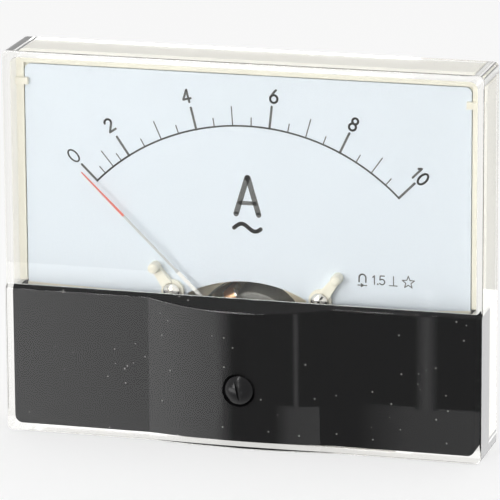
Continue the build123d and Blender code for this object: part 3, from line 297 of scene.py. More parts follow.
def add_group(material, group, values):
    """Place a shared group in a material and set its inputs."""
    node = material.node_tree.nodes.new("ShaderNodeGroup")
    node.node_tree = group
    for label, value in values.items():
        node.inputs[label].default_value = value
    return node


def add_ripple(material, group, values):
    """Let orange peel or grain drive a material's normal and roughness."""
    rippled = add_group(material, group, values)
    shader = principled(material)
    for label in ("Normal", "Roughness"):
        wire(material.node_tree, rippled.outputs[label], shader.inputs[label])


# %% Plastic and metal
PEEL_SPREAD = 0.4
GRAIN_SPREAD = 0.6


def plastic(name, colour, roughness, scale, strength):
    """Moulded plastic: a plain colour under faint orange peel."""
    material = new_material(name, colour, roughness)
    add_ripple(material, orange_peel, {
        "Scale": scale, "Strength": strength, "Roughness": roughness, "Spread": roughness * PEEL_SPREAD,
    })
    return material


def metal(name, colour, roughness, stretch, strength, metallic=1.0):
    """Worked metal with fine lines along its grain."""
    material = new_material(name, colour, roughness, metallic)
    add_ripple(material, grain, {
        "Stretch": stretch, "Strength": strength, "Roughness": roughness,
        "Spread": roughness * GRAIN_SPREAD,
    })
    return material


def dress(material, *names):
    """Give CAD nodes a material in place of their plain one."""
    for name in names:
        node = nodes[name]
        node.data.materials.clear()
        node.data.materials.append(material)
    print(material.name, "on", ", ".join(names))


# %% [markdown]
# ## Clear cover
# The cover is one clear moulding with polished faces. It is rendered as solid plastic with real
# walls, so its thick edges bend the light as the real ones do. Lamps can't find their way through
# such a shape in a render, so rays that look for a lamp are let straight through.

# %% Clear plastic
CLEAR_ROUGHNESS = 0.015
PLASTIC_IOR = 1.5
LAMP_PASSES = (0.93, 0.93, 0.92, 1)
clear = new_material("clear plastic", (0.985, 0.98, 0.955), CLEAR_ROUGHNESS)
shader = principled(clear)
shader.inputs["Transmission Weight"].default_value = 1.0
shader.inputs["IOR"].default_value = PLASTIC_IOR
tree = clear.node_tree
path = tree.nodes.new("ShaderNodeLightPath")
hole = tree.nodes.new("ShaderNodeBsdfTransparent")
hole.inputs["Color"].default_value = LAMP_PASSES
blend = tree.nodes.new("ShaderNodeMixShader")
wire(tree, path.outputs["Is Shadow Ray"], blend.inputs[0])
wire(tree, shader.outputs[0], blend.inputs[1])
wire(tree, hole.outputs[0], blend.inputs[2])
wire(tree, blend.outputs[0], tree.nodes["Material Output"].inputs["Surface"])
dress(clear, "front_cover")

# %% [markdown]
# ## Black lower front
# The black lies so close behind the clear plastic that the two look like one piece: no second
# shine comes from the gap, and at the sides the black seems to reach the outer edge. A copy of the
# solid, grown by a tenth of a millimetre, closes that gap. It has no shine of its own, because
# what shines is the clear face in front of it. A little dust lies on it as pale specks.

# %% Black front in contact with the cover
CONTACT = 0.1 * MM
skin = bmesh.new()
skin.from_mesh(nodes["black_mask"].data)
bmesh.ops.remove_doubles(skin, verts=skin.verts, dist=WELD)
skin.normal_update()
for vert in skin.verts:
    vert.co += vert.normal * vert.calc_shell_factor() * CONTACT
black_front = stand("black_front", skin)
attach(black_front, "housing")
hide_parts("black_mask")

# %% Black plastic
BLACK = (0.005, 0.005, 0.0055)
DUST = (0.30, 0.30, 0.29)
black = plastic("black plastic", BLACK, roughness=0.4, scale=400, strength=0.05)
shader = principled(black)
shader.inputs["Specular IOR Level"].default_value = 0.0
tree = black.node_tree
dust = add_group(black, specks, {"Scale": 520, "Size": 0.09, "Share": 0.4})
speckled = tree.nodes.new("ShaderNodeMix")
speckled.data_type = "RGBA"
speckled.inputs["A"].default_value = (*BLACK, 1)
speckled.inputs["B"].default_value = (*DUST, 1)
wire(tree, dust.outputs["Mask"], speckled.inputs["Factor"])
wire(tree, speckled.outputs["Result"], shader.inputs["Base Color"])
front_mesh = black_front.data
front_mesh.materials.append(black)
print("black plastic:", len(tree.nodes), "nodes")

# %% [markdown]
# Light that runs inside the clear plastic comes out where it meets the black, and draws a fine
# pale line along its top. That line is a painted highlight here: the narrow top face of the copy
# gets a pale grey colour with a polished finish in place of black.

# %% Painted highlight along the top edge
FACES_UP = 0.9
LOWEST_TOP = -12 * MM
# Painted highlight: a pale grey colour on the black's narrow top faces stands in for the bright line of
# light along its top.
painted_highlight_edge = new_material("painted highlight edge", (0.66, 0.66, 0.64), roughness=0.15)
front_mesh.materials.append(painted_highlight_edge)
highlighted_top_faces = [
    face for face in front_mesh.polygons if face.normal.z > FACES_UP and face.center.z > LOWEST_TOP
]
for face in highlighted_top_faces:
    face.material_index = 1
print("painted highlight edge:", len(highlighted_top_faces), "faces")

# %% [markdown]
# The zero screw stands out of the black through the cover, and its dome catches the light. It is
# the same plastic, but polished, so it gets a finish of its own.

# %% Zero screw
screw_black = plastic("screw black", (0.012, 0.012, 0.013), roughness=0.22, scale=900, strength=0.08)
dress(screw_black, "zero_adjust_screw")

# %% [markdown]
# ## Dial
# The dial is sheet metal with matt paint, pale with a little blue in it, which keeps glare off the
# scale. A slow change of tone over the sheet keeps the large pale area from looking computed.

# %% Dial paint
PAINT_ROUGHNESS = 0.55
CLOUD_SCALE = 18
PAINT_TONES = [(0.3, (0.765, 0.84, 0.93)), (0.7, (0.785, 0.855, 0.945))]
dial_paint = new_material("dial paint", (0.775, 0.85, 0.94), PAINT_ROUGHNESS)
tree = dial_paint.node_tree
place = tree.nodes.new("ShaderNodeTexCoord")
clouds = tree.nodes.new("ShaderNodeTexNoise")
clouds.inputs["Scale"].default_value = CLOUD_SCALE
clouds.inputs["Detail"].default_value = 1
tones = add_ramp(tree, PAINT_TONES)
wire(tree, place.outputs["Object"], clouds.inputs["Vector"])
wire(tree, clouds.outputs["Fac"], tones.inputs["Fac"])
wire(tree, tones.outputs["Color"], principled(dial_paint).inputs["Base Color"])
add_ripple(dial_paint, orange_peel, {
    "Scale": 1500, "Strength": 0.15, "Roughness": PAINT_ROUGHNESS, "Spread": 0.1,
})
dress(dial_paint, "dial_plate")

# %% [markdown]
# ## Printing on the dial
# The scale of a meter for alternating current is crowded at its start: its rectifier gives little
# at small currents. So the marks follow a law and not equal steps: one curve up to the knee at 2,
# and a nearly straight one from there on. Printing could be an image on the dial, but then it
# would blur close up. Here everything printed is a ribbon of even width with round ends, as a
# plotter's pen draws it: flat strips for straight marks, and numerals made of lines and arcs. All
# places on the dial are X and Z in millimetres.

# %% Scale law
PIVOT = (0.25, -18.5)
SCALE_START = 135.28
SCALE_FULL = 10
BASE_R = 44.54
KNEE = 2
KNEE_DEFLECTION = 11.4
LOW_RATE = 6.35
LOW_BEND = -0.325
HIGH_RATE = 10.117
HIGH_BEND = -0.0333


def deflection(value):
    """Degrees from the start of the scale to a value."""
    if value <= KNEE:
        return LOW_RATE * value + LOW_BEND * value ** 2
    past = value - KNEE
    return KNEE_DEFLECTION + HIGH_RATE * past + HIGH_BEND * past ** 2


def on_scale(radius, value):
    """X and Z, in mm, of a point at a radius on the line of a value."""
    angle = math.radians(SCALE_START - deflection(value))
    return Vector((PIVOT[0] + radius * math.cos(angle), PIVOT[1] + radius * math.sin(angle)))


print("scale marks at", [round(SCALE_START - deflection(v), 1) for v in range(0, SCALE_FULL + 1, 2)])

# %% Ink ribbons
INK_LIFT = 0.02 * MM
INK_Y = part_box("dial_plate")[0][1] - INK_LIFT
END_SIDES = 12
TOO_SHORT = 1e-6
STAND_UP = Matrix.Rotation(math.radians(90), 3, "X")
ink = bmesh.new()


def place_flat(verts, centre, turn):
    """Turn flat geometry in its own plane, stand it up and move it onto the dial."""
    bmesh.ops.rotate(ink, verts=verts, cent=(0, 0, 0), matrix=Matrix.Rotation(turn, 3, "Z"))
    bmesh.ops.rotate(ink, verts=verts, cent=(0, 0, 0), matrix=STAND_UP)
    bmesh.ops.scale(ink, verts=verts, vec=(MM, MM, MM))
    bmesh.ops.translate(ink, verts=verts, vec=(centre.x * MM, INK_Y, centre.y * MM))


def stroke(points, width, closed=False):
    """Lay a ribbon with round ends along X, Z points in mm."""
    points = [Vector(p) for p in points]
    ends = points[1:] + points[:1] if closed else points[1:]
    for first, last in zip(points, ends):
        run = last - first
        if run.length < TOO_SHORT:
            continue
        made = bmesh.ops.create_grid(ink, x_segments=1, y_segments=1, size=0.5)
        bmesh.ops.scale(ink, verts=made["verts"], vec=(run.length, width, 1))
        place_flat(made["verts"], (first + last) / 2, math.atan2(run.y, run.x))
    for point in points:
        made = bmesh.ops.create_circle(ink, cap_ends=True, segments=END_SIDES, radius=width / 2)
        place_flat(made["verts"], point, 0)


def arc(centre, radius, start, end, steps, squeeze=1.0):
    """Points on an arc in degrees, anticlockwise from +X; squeeze narrows it sideways."""
    angles = [math.radians(start + (end - start) * k / steps) for k in range(steps + 1)]
    return [
        (centre[0] + squeeze * radius * math.cos(a), centre[1] + radius * math.sin(a)) for a in angles
    ]


print("ink lies at y", round(INK_Y / MM, 3), "mm")

# %% Scale arc and marks
FINE = 0.24
BOLD = 0.48
ARC = 0.36
ARC_STEPS = 160
EVEN_R = 49.1
WHOLE_R = 48.5
HALF_R = 46.3
stroke([on_scale(BASE_R, SCALE_FULL * k / ARC_STEPS) for k in range(ARC_STEPS + 1)], ARC)
for half in range(2 * SCALE_FULL + 1):
    value = half / 2
    if value % 2 == 0:
        end_r, width = EVEN_R, BOLD
    elif value % 1 == 0:
        end_r, width = WHOLE_R, FINE
    else:
        end_r, width = HALF_R, FINE
    stroke([on_scale(BASE_R, value), on_scale(end_r, value)], width)
print("scale:", len(ink.faces), "faces")

# %% [markdown]
# Each digit is made of strokes, given in shares of its height with its foot at 0 and its middle
# at X 0. A stroke is a list of points and whether its end joins its start.

# %% Digits
ADVANCE = 0.72
DIGITS = {
    "0": [(arc((0, 0.5), 0.5, 0, 360, 28, 0.56), True)],
    "1": [([(-0.08, 0.82), (0.1, 1.0), (0.1, 0.0)], False)],
    "2": [(arc((0, 0.73), 0.27, 165, -35, 14) + [(-0.28, 0.0), (0.28, 0.0)], False)],
    "4": [([(0.12, 0.0), (0.12, 1.0), (-0.3, 0.28), (0.3, 0.28)], False)],
    "5": [([(0.26, 1.0), (-0.2, 1.0), (-0.25, 0.55)] + arc((0, 0.31), 0.31, 135, -145, 14), False)],
    "6": [
        (arc((0, 0.3), 0.3, 0, 360, 22, 0.95), True),
        ([(-0.27, 0.42), (-0.02, 0.86), (0.1, 1.0)], False),
    ],
    "8": [(arc((0, 0.27), 0.27, 0, 360, 20), True), (arc((0, 0.77), 0.23, 0, 360, 20), True)],
}


def write(text, centre, height, width, turn=0):
    """Write digits centred at X, Z, turned anticlockwise by degrees."""
    spin = Matrix.Rotation(math.radians(turn), 2)
    for index, digit in enumerate(text):
        offset = (index - (len(text) - 1) / 2) * ADVANCE
        for points, closed in DIGITS[digit]:
            moved = [
                spin @ Vector(((x + offset) * height, (z - 0.5) * height)) + Vector(centre)
                for x, z in points
            ]
            stroke(moved, width, closed)


print("digits:", " ".join(DIGITS))

# %% Numerals of the scale: radius, shift along the scale, height and width of the pen
NUMERALS = {
    0: (51.55, 0.0, 2.9, 0.34),
    2: (51.9, 0.0, 2.6, 0.46),
    4: (51.6, -0.04, 2.6, 0.46),
    6: (51.3, 0.03, 2.65, 0.46),
    8: (51.2, 0.0, 2.65, 0.46),
    10: (51.0, -0.05, 2.65, 0.46),
}
for value, (radius, shift, height, width) in NUMERALS.items():
    turn = SCALE_START - deflection(value) - 90
    write(str(value), on_scale(radius, value + shift), height, width, turn)
print("scale and numerals:", len(ink.faces), "faces")

# %% The letter for amperes and the wave for alternating current
LETTER_LEGS = [(-2.15, 7.7), (0.2, 15.35), (0.4, 15.35), (2.6, 7.7)]
LETTER_BAR = [(-1.3, 10.05), (1.8, 10.05)]
LEG_WIDTH = 1.12
BAR_WIDTH = 0.85
WAVE_MIDDLE = (0.2, 4.94)
WAVE_LENGTH = 5.6
WAVE_HEIGHT = 0.74
WAVE_LEAD = 0.04
WAVE_STEPS = 24
shares = [k / WAVE_STEPS for k in range(WAVE_STEPS + 1)]
wave = [
    (
        WAVE_MIDDLE[0] + WAVE_LENGTH * (share - 0.5),
        WAVE_MIDDLE[1] + WAVE_HEIGHT * math.sin(math.tau * (share - WAVE_LEAD)),
    )
    for share in shares
]
stroke(LETTER_LEGS, LEG_WIDTH)
stroke(LETTER_BAR, BAR_WIDTH)
stroke(wave, BAR_WIDTH)
print("with the letter and the wave:", len(ink.faces), "faces")

# %% [markdown]
# The small signs at the lower right are standard ones: a horseshoe magnet with a rectifier's
# triangle says how the meter works, 1.5 is its class, the upright line says how it stands, and the
# star tells that its insulation was tested.

# %% Magnet with rectifier
SIGN = 0.2
MAGNET = 0.3
MAGNET_MIDDLE = (24.2, -3.95)
MAGNET_R = 0.7
MAGNET_FOOT_Z = -4.85
DIODE_Z = -5.55
DIODE_LINE_X = (23.25, 25.1)
DIODE_BACK_X = 23.95
DIODE_TIP_X = 24.45
DIODE_RISE = 0.3
magnet_bow = arc(MAGNET_MIDDLE, MAGNET_R, 180, 0, 12)
left_foot = (MAGNET_MIDDLE[0] - MAGNET_R, MAGNET_FOOT_Z)
right_foot = (MAGNET_MIDDLE[0] + MAGNET_R, MAGNET_FOOT_Z)
stroke([left_foot] + magnet_bow + [right_foot], MAGNET)
stroke([(x, DIODE_Z) for x in DIODE_LINE_X], SIGN)
stroke(
    [(DIODE_BACK_X, DIODE_Z + DIODE_RISE), (DIODE_TIP_X, DIODE_Z), (DIODE_BACK_X, DIODE_Z - DIODE_RISE)],
    SIGN, closed=True,
)
print("with the magnet sign:", len(ink.faces), "faces")

# %% Class, upright use and test voltage
CLASS_HEIGHT = 1.8
CLASS_PEN = 0.24
ONE_AT = (26.5, -4.3)
FIVE_AT = (28.25, -4.25)
DOT = [(27.36, -5.12), (27.38, -5.12)]
DOT_WIDTH = 0.36
SIGN_FOOT_Z = -5.25
UPRIGHT_LINE = [(30.63, -3.31), (30.63, SIGN_FOOT_Z)]
GROUND_LINE = [(29.76, SIGN_FOOT_Z), (31.39, SIGN_FOOT_Z)]
STAR_MIDDLE = Vector((33.7, -4.36))
STAR_RADII = (1.32, 0.56)
STAR_CORNERS = 10
write("1", ONE_AT, CLASS_HEIGHT, CLASS_PEN)
stroke(DOT, DOT_WIDTH)
write("5", FIVE_AT, CLASS_HEIGHT, CLASS_PEN)
stroke(UPRIGHT_LINE, SIGN)
stroke(GROUND_LINE, SIGN)
star = []
for corner in range(STAR_CORNERS):
    angle = math.radians(90 + 360 * corner / STAR_CORNERS)
    star.append(STAR_MIDDLE + STAR_RADII[corner % 2] * Vector((math.cos(angle), math.sin(angle))))
stroke(star, SIGN, closed=True)
print("with all signs:", len(ink.faces), "faces")

# %% Ink
ink_black = plastic("ink", (0.11, 0.115, 0.115), roughness=0.7, scale=900, strength=0.1)
dial_print = stand("dial_print", ink, ink_black)
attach(dial_print, "housing")

# %% [markdown]
# ## Pointer
# The pointer is a strip of aluminium. Its outer part is painted red, so that it stands out on the
# dial, and a white sleeve holds it near the hub. The strip could be cut into pieces with a
# material each. One material does it here, because the colours change only with the distance
# from the pivot, which it reads from the place of each point.

# %% Pointer paint
BAND_REACH = 48
POINTER_BANDS = [
    (0.0, (0.55, 0.55, 0.54)),
    (14.4 / BAND_REACH, (0.92, 0.92, 0.9)),
    (19.5 / BAND_REACH, (0.55, 0.57, 0.58)),
    (35.4 / BAND_REACH, (0.80, 0.16, 0.12)),
]
pointer_paint = new_material("pointer paint", (0.75, 0.05, 0.03), roughness=0.45)
tree = pointer_paint.node_tree
place = tree.nodes.new("ShaderNodeTexCoord")
centre = tree.nodes.new("ShaderNodeMapping")
centre.inputs["Location"].default_value = (0, 0, -PIVOT[1] * MM)
flat = tree.nodes.new("ShaderNodeVectorMath")
flat.operation = "MULTIPLY"
flat.inputs[1].default_value = (1, 0, 1)
reach = tree.nodes.new("ShaderNodeVectorMath")
reach.operation = "LENGTH"
scaled = add_math(tree, "DIVIDE", None, BAND_REACH * MM)
bands = add_ramp(tree, POINTER_BANDS, "CONSTANT")
wire(tree, place.outputs["Object"], centre.inputs["Vector"])
wire(tree, centre.outputs["Vector"], flat.inputs[0])
wire(tree, flat.outputs["Vector"], reach.inputs[0])
wire(tree, reach.outputs["Value"], scaled.inputs[0])
wire(tree, scaled.outputs[0], bands.inputs["Fac"])
wire(tree, bands.outputs["Color"], principled(pointer_paint).inputs["Base Color"])
dress(pointer_paint, "pointer")

# %% [markdown]
# ## Movement, base and fixings
# Behind the dial's opening the movement shows copper, iron, nickel and cream plastic. Each part
# gets the finish of the real one: moulded parts are matt with a faint waviness, drawn and turned
# metal has fine lines, and enamelled wire a soft copper shine.

# %% Plastics
cream = plastic("cream plastic", (0.90, 0.87, 0.76), roughness=0.45, scale=250, strength=0.12)
tan = plastic("tan plastic", (0.97, 0.88, 0.68), roughness=0.45, scale=400, strength=0.12)
ivory = plastic("ivory plastic", (0.93, 0.90, 0.78), roughness=0.4, scale=500, strength=0.1)
dark = plastic("component black", (0.025, 0.025, 0.025), roughness=0.4, scale=800, strength=0.1)
blue = plastic("component blue", (0.06, 0.14, 0.42), roughness=0.35, scale=800, strength=0.1)
green = plastic("board green", (0.03, 0.16, 0.06), roughness=0.3, scale=300, strength=0.05)
dress(cream, "base_housing")
dress(tan, "movement_frame")
dress(ivory, "left_pointer_stop", "right_pointer_stop")
dress(dark, "rectifier_diodes", "transformer_bobbin")
dress(blue, "series_resistor", "trim_resistor")
dress(green, "circuit_board")

# %% [markdown]
# The stretch of each metal says how close its lines lie along X, Y and Z, per metre. A full metal
# mirrors only the room, which is dark in the deep opening. The iron ring and the magnet have a
# dull skin that also scatters light, so they are metal in part only.

# %% Metals
DULL_SKIN = 0.25
LINES_ALONG_Y = (2500, 300, 2500)
SHAFT_LINES = (2000, 400, 2000)
FORMER_LINES = (1500, 1500, 300)
WIRE_GRAIN = (4000, 4000, 4000)
IRON_LINES = (4000, 600, 4000)
MAGNET_GRAIN = (5000, 5000, 5000)
nickel = metal("nickel", (0.80, 0.79, 0.76), roughness=0.16, stretch=LINES_ALONG_Y, strength=0.15)
brass = metal("brass", (0.80, 0.60, 0.30), roughness=0.22, stretch=LINES_ALONG_Y, strength=0.2)
steel = metal("steel", (0.60, 0.60, 0.61), roughness=0.2, stretch=SHAFT_LINES, strength=0.1)
aluminium = metal("aluminium", (0.80, 0.80, 0.81), roughness=0.28, stretch=FORMER_LINES, strength=0.15)
copper = metal("copper wire", (0.86, 0.52, 0.32), roughness=0.35, stretch=WIRE_GRAIN, strength=0.1)
iron = metal(
    "iron", (0.50, 0.51, 0.45), roughness=0.45, stretch=IRON_LINES, strength=0.05, metallic=DULL_SKIN,
)
magnet = metal(
    "magnet", (0.80, 0.80, 0.77), roughness=0.28, stretch=MAGNET_GRAIN, strength=0.05, metallic=DULL_SKIN,
)
dress(
    nickel, "dial_screws", "front_bridge", "bridge_screws", "frame_screws", "mounting_studs", "zero_lever",
    "terminal_washers",
)
dress(
    brass, "terminal_studs", "terminal_nuts", "balance_cross", "balance_weights", "front_jewel_screw",
    "rear_jewel_screw", "rear_spring_arm", "front_hairspring", "rear_hairspring",
)
dress(steel, "front_half_shaft", "rear_half_shaft", "zero_screw_clip")
dress(aluminium, "coil_former")
dress(copper, "coil_winding", "transformer_winding")
dress(iron, "yoke_ring", "transformer_core")
dress(magnet, "core_magnet")

# %% [markdown]
# ## Threads
# The studs have threads cut along them. A bump in the material would leave their outline smooth,
# so a merged copy of each node gets its shanks thinned to the thread's root, and a ridge with a
# narrow crest winds around each shank up to the old radius, with the pitch that belongs to its
# size: 0.7 mm for M4 and 0.8 mm for M5. The length of a shank is read from its own mesh.

# %% Thread form
DEPTH_SHARE = 0.6134
RING_STEPS = 20
RUN_OUT = 1.1
ON_WALL = 0.02
RIDGE_SINK = 0.05
RIDGE_RISES = (0.02, 0.44, 0.56, 0.98)


def thin_shanks(shape, centres, radius, root):
    """Bring the shanks' walls in to the root radius, and return the Y of each point on them."""
    along = []
    for centre_x, centre_z in centres:
        for vert in shape.verts:
            reach = math.hypot(vert.co.x - centre_x, vert.co.z - centre_z)
            if abs(reach - radius) < ON_WALL:
                along.append(vert.co.y)
                vert.co.x = centre_x + (vert.co.x - centre_x) * root / reach
                vert.co.z = centre_z + (vert.co.z - centre_z) * root / reach
    return along


def wind_ridge(shape, centre, start_y, radius, root, pitch, turns):
    """Wind a closed ridge around one shank, and return its points, edges and faces."""
    plain = set(shape.verts)
    inner = root - RIDGE_SINK
    corners = [
        shape.verts.new((centre[0] + out, start_y + rise * pitch, centre[1]))
        for out, rise in zip((inner, radius, radius, inner), RIDGE_RISES)
    ]
    ring = [shape.edges.new(pair) for pair in zip(corners, corners[1:] + corners[:1])]
    bmesh.ops.spin(
        shape, geom=corners + ring, cent=(centre[0], 0, centre[1]), axis=(0, 1, 0),
        dvec=(0, pitch / RING_STEPS, 0), angle=-math.tau * turns, steps=round(RING_STEPS * turns),
    )
    verts = [vert for vert in shape.verts if vert not in plain]
    edges = [edge for edge in shape.edges if edge.verts[0] not in plain]
    bmesh.ops.holes_fill(shape, edges=edges, sides=len(corners))
    faces = [face for face in shape.faces if face.verts[0] not in plain]
    bmesh.ops.recalc_face_normals(shape, faces=faces)
    return verts + edges + faces


# %% Threaded studs
STUD_X = 40
STUD_Z = 31
STUD_R = 2.0
STUD_PITCH = 0.7
TERMINAL_X = 14
TERMINAL_Z = -3.5
TERMINAL_R = 2.5
TERMINAL_PITCH = 0.8


def thread(piece_name, node_name, centres, radius, pitch, finish):
    """Replace plain studs by threaded ones; centres are X, Z pairs and all sizes are in mm."""
    root = radius - DEPTH_SHARE * pitch
    wound = bmesh.new()
    wound.from_mesh(nodes[node_name].data)
    bmesh.ops.remove_doubles(wound, verts=wound.verts, dist=WELD)
    bmesh.ops.scale(wound, verts=wound.verts, vec=(1 / MM, 1 / MM, 1 / MM))
    along = thin_shanks(wound, centres, radius, root)
    turns = (max(along) - min(along)) / pitch - RUN_OUT
    ridge = wind_ridge(wound, centres[0], min(along), radius, root, pitch, turns)
    for other_x, other_z in centres[1:]:
        copied = bmesh.ops.duplicate(wound, geom=ridge)
        moved = [part for part in copied["geom"] if isinstance(part, bmesh.types.BMVert)]
        shift = (other_x - centres[0][0], 0, other_z - centres[0][1])
        bmesh.ops.translate(wound, verts=moved, vec=shift)
    bmesh.ops.scale(wound, verts=wound.verts, vec=(MM, MM, MM))
    made = stand(piece_name, wound, finish)
    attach(made, "housing")
    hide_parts(node_name)
    print("thread from", round(min(along), 2), "to", round(max(along), 2), "mm")


stud_centres = [(x, z) for x in (-STUD_X, STUD_X) for z in (-STUD_Z, STUD_Z)]
terminal_centres = [(x, TERMINAL_Z) for x in (-TERMINAL_X, TERMINAL_X)]
thread("threaded_mounting_studs", "mounting_studs", stud_centres, STUD_R, STUD_PITCH, nickel)
thread(
    "threaded_terminal_studs", "terminal_studs", terminal_centres, TERMINAL_R, TERMINAL_PITCH,
    brass,
)

# %% [markdown]
# ## Cream lip
# Under the ends of the dial a narrow lip of the cream base shows just above the black. It could be
# part of the base's solid, but no more than this line of it ever shows, so on each side a thin
# wedge does, highest at its outer end. Most of it is hidden behind the black.

# %% Cream lip
LIP_OUTER_X = 46.6
LIP_LEFT_X = -24
LIP_RIGHT_X = 38
LIP_DEEP = 1.6
LIP_THICK = -0.04
LIP_THIN = -0.7
LIP_LIFT = 0.03 * MM
LIP_SHEET = 0.02 * MM
black_top = max(vert.co.z for vert in front_mesh.vertices) / MM
lip = bmesh.new()
for thin_x, thick_x in ((LIP_LEFT_X, -LIP_OUTER_X), (LIP_RIGHT_X, LIP_OUTER_X)):
    outline = [(thin_x, -LIP_DEEP), (thick_x, -LIP_DEEP), (thick_x, LIP_THICK), (thin_x, LIP_THIN)]
    corners = [lip.verts.new((x * MM, INK_Y - LIP_LIFT, (black_top + rise) * MM)) for x, rise in outline]
    lip.faces.new(corners)
bmesh.ops.recalc_face_normals(lip, faces=lip.faces)
bmesh.ops.solidify(lip, geom=lip.faces, thickness=LIP_SHEET)
cream_lip = stand("cream_lip", lip, cream)
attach(cream_lip, "housing")
print("the black ends at z", round(black_top, 2), "mm")

# %% [markdown]
# ## Studio
# A product table stands in a room: white paper behind and around the object, and a darker room in
# front of it, which the glossy faces mirror. Towards the camera, and through clear plastic, the
# backdrop is plain white. A world of one even white would light every side alike, so here it
# fades from paper to room, and light that has already met a matt face gets a smaller share of it,
# as in the shade inside the meter.


# %% Rays that see the backdrop
def seen_directly(tree, path):
    """An output that is 1 for rays from the camera and through clear plastic, else 0."""
    seen = add_math(tree, "MAXIMUM")
    wire(tree, path.outputs["Is Camera Ray"], seen.inputs[0])
    wire(tree, path.outputs["Is Transmission Ray"], seen.inputs[1])
    return seen.outputs[0]


# %% World
ROOM = 0.33
PAPER = 1.0
SOFT_SHARE = 0.6
ROOM_ENDS = -0.75
PAPER_STARTS = 0.35
world = bpy.data.worlds.new("studio")
bpy.context.scene.world = world
world.use_nodes = True
tree = world.node_tree
tree.nodes.clear()
way = tree.nodes.new("ShaderNodeTexCoord")
axes = tree.nodes.new("ShaderNodeSeparateXYZ")
depth = tree.nodes.new("ShaderNodeMapRange")
depth.interpolation_type = "SMOOTHSTEP"
depth.inputs["From Min"].default_value = ROOM_ENDS
depth.inputs["From Max"].default_value = PAPER_STARTS
depth.inputs["To Min"].default_value = ROOM
depth.inputs["To Max"].default_value = PAPER
path = tree.nodes.new("ShaderNodeLightPath")
unscattered = add_math(tree, "LESS_THAN", None, 0.5)
dim = tree.nodes.new("ShaderNodeMapRange")
dim.inputs["To Min"].default_value = SOFT_SHARE
dim.inputs["To Max"].default_value = 1.0
level = add_math(tree, "MULTIPLY")
around = tree.nodes.new("ShaderNodeBackground")
around.inputs["Color"].default_value = WHITE
white = tree.nodes.new("ShaderNodeBackground")
white.inputs["Color"].default_value = WHITE
white.inputs["Strength"].default_value = PAPER
direct = add_math(tree, "MULTIPLY")
blend = tree.nodes.new("ShaderNodeMixShader")
leave = tree.nodes.new("ShaderNodeOutputWorld")
wire(tree, way.outputs["Generated"], axes.inputs[0])
wire(tree, axes.outputs["Y"], depth.inputs["Value"])
wire(tree, path.outputs["Diffuse Depth"], unscattered.inputs[0])
wire(tree, unscattered.outputs[0], dim.inputs["Value"])
wire(tree, depth.outputs[0], level.inputs[0])
wire(tree, dim.outputs[0], level.inputs[1])
wire(tree, level.outputs[0], around.inputs["Strength"])
wire(tree, seen_directly(tree, path), direct.inputs[0])
wire(tree, unscattered.outputs[0], direct.inputs[1])
wire(tree, direct.outputs[0], blend.inputs[0])
wire(tree, around.outputs[0], blend.inputs[1])
wire(tree, white.outputs[0], blend.inputs[2])
wire(tree, blend.outputs[0], leave.inputs["Surface"])
print("world:", len(tree.nodes), "nodes")

# %% [markdown]
# Three soft boxes light the object: a narrow bright one high on the left, a broad one low beside
# the camera and a broad one at the right. Places and sizes are in metres.


# %% Lamps
def lamp(name, place, aim, width, height, power):
    """A rectangular soft box at a place, facing an aim point."""
    light = bpy.data.lights.new(name, "AREA")
    light.shape = "RECTANGLE"
    light.size = width
    light.size_y = height
    light.energy = power
    box = bpy.data.objects.new(name, light)
    box.location = place
    box.rotation_euler = (Vector(aim) - Vector(place)).to_track_quat("-Z", "Y").to_euler()
    bpy.context.scene.collection.objects.link(box)
    print(name, "lamp:", power, "W")


lamp("key", place=(-0.262, -0.678, 0.714), aim=(0, 0, 0), width=0.035, height=0.5, power=0.9)
lamp("fill", place=(-0.35, -0.76, 0.15), aim=(0, 0, 0), width=0.4, height=0.4, power=2.45)
lamp("side", place=(0.85, 0.05, 0.3), aim=(0.05, 0, 0), width=0.4, height=0.4, power=1.0)

# %% [markdown]
# The object stands on white paper. The paper itself is plain diffuse white, and rays from the
# camera see some light of its own added, just enough that open paper is pure white while the shade
# under the object still shows. From below it is clear, so that the underside can be looked at.

# %% Floor
PAPER_COLOUR = (0.4, 0.4, 0.4)
PAPER_ROUGHNESS = 0.9
PAPER_GLOW = 0.68
FLOOR_SIZE = 6.0
FLOOR_GAP = 0.05 * MM
paper = new_material("paper", PAPER_COLOUR, PAPER_ROUGHNESS)
shader = principled(paper)
shader.inputs["Emission Color"].default_value = WHITE
tree = paper.node_tree
path = tree.nodes.new("ShaderNodeLightPath")
glow = add_math(tree, "MULTIPLY", None, PAPER_GLOW)
under = tree.nodes.new("ShaderNodeNewGeometry")
hole = tree.nodes.new("ShaderNodeBsdfTransparent")
blend = tree.nodes.new("ShaderNodeMixShader")
wire(tree, seen_directly(tree, path), glow.inputs[0])
wire(tree, glow.outputs[0], shader.inputs["Emission Strength"])
wire(tree, under.outputs["Backfacing"], blend.inputs[0])
wire(tree, shader.outputs[0], blend.inputs[1])
wire(tree, hole.outputs[0], blend.inputs[2])
wire(tree, blend.outputs[0], tree.nodes["Material Output"].inputs["Surface"])
floor_sheet = bmesh.new()
bmesh.ops.create_grid(floor_sheet, x_segments=1, y_segments=1, size=FLOOR_SIZE / 2)
bmesh.ops.translate(floor_sheet, verts=floor_sheet.verts, vec=(0, 0, cad_box[0][2] - FLOOR_GAP))
floor = stand("floor", floor_sheet, paper)
floor.visible_glossy = False

# %% [markdown]
# ## Cards
# Glossy black shows what stands in the room more than its own colour. A lamp would do for that,
# but it would light the matt faces too, so plain sheets that only reflections see stand around
# the object. The left card's glow falls off towards its right edge, which gives the bulge the soft
# end of its pale streak. A low one brightens the lower right of the black, a narrow one draws the
# fine upright streak on the right side of the bulge, and one behind on the right lights the clear
# side wall.


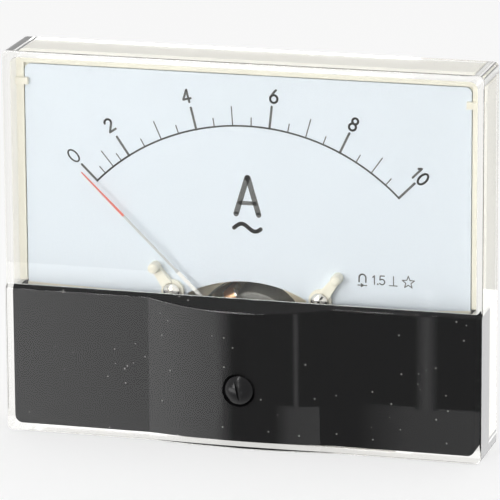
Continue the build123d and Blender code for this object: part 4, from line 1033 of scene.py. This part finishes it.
# %% Card helpers
def glow_material(name, left, right_side, stops):
    """A glow that changes from left to right in mm, with stops of (share, strength)."""
    glow = bpy.data.materials.new(name)
    glow.use_nodes = True
    tree = glow.node_tree
    tree.nodes.clear()
    way = tree.nodes.new("ShaderNodeTexCoord")
    axes = tree.nodes.new("ShaderNodeSeparateXYZ")
    share = tree.nodes.new("ShaderNodeMapRange")
    share.inputs["From Min"].default_value = left * MM
    share.inputs["From Max"].default_value = right_side * MM
    ramp = add_ramp(tree, [(at, (strength, strength, strength)) for at, strength in stops])
    shine = tree.nodes.new("ShaderNodeEmission")
    leave = tree.nodes.new("ShaderNodeOutputMaterial")
    wire(tree, way.outputs["Object"], axes.inputs[0])
    wire(tree, axes.outputs["X"], share.inputs["Value"])
    wire(tree, share.outputs[0], ramp.inputs["Fac"])
    wire(tree, ramp.outputs["Color"], shine.inputs["Color"])
    wire(tree, shine.outputs[0], leave.inputs["Surface"])
    return glow


def card(name, depth_y, left, right_side, low, high, stops):
    """An upright sheet facing the object, in mm, that only reflections see."""
    sheet = bmesh.new()
    bmesh.ops.create_grid(sheet, x_segments=1, y_segments=1, size=0.5)
    bmesh.ops.rotate(sheet, verts=sheet.verts, cent=(0, 0, 0), matrix=STAND_UP)
    bmesh.ops.scale(sheet, verts=sheet.verts, vec=((right_side - left) * MM, 1, (high - low) * MM))
    middle = ((left + right_side) / 2 * MM, depth_y * MM, (low + high) / 2 * MM)
    bmesh.ops.translate(sheet, verts=sheet.verts, vec=middle)
    made = stand(name, sheet, glow_material(name, left, right_side, stops))
    made.visible_camera = False
    made.visible_diffuse = False
    made.visible_shadow = False
    made.visible_transmission = False


# %% White cards
LEFT_GLOW = [(0.0, 2.6), (0.62, 2.5), (0.78, 2.15), (0.925, 1.65), (0.99, 0.35)]
LOW_GLOW = [(0.0, 0.35), (0.35, 0.9), (1.0, 1.0)]
STREAK_GLOW = [(0.0, 0.35), (0.5, 1.15), (1.0, 0.35)]
SIDE_GLOW = [(0.0, 1.9), (1.0, 1.9)]
card("left_card", depth_y=-160, left=-300, right_side=-42, low=-110, high=-46, stops=LEFT_GLOW)
card("low_card", depth_y=-162, left=-12, right_side=22, low=-110, high=-75, stops=LOW_GLOW)
card("right_card", depth_y=-160, left=1.8, right_side=7.4, low=-75, high=-46, stops=STREAK_GLOW)
card("side_card", depth_y=200, left=80, right_side=145, low=-115, high=-64, stops=SIDE_GLOW)

# %% [markdown]
# ## Finish
# The colours go out as they are, without a film look.

# %% Finish
bpy.context.scene.view_settings.view_transform = "Standard"
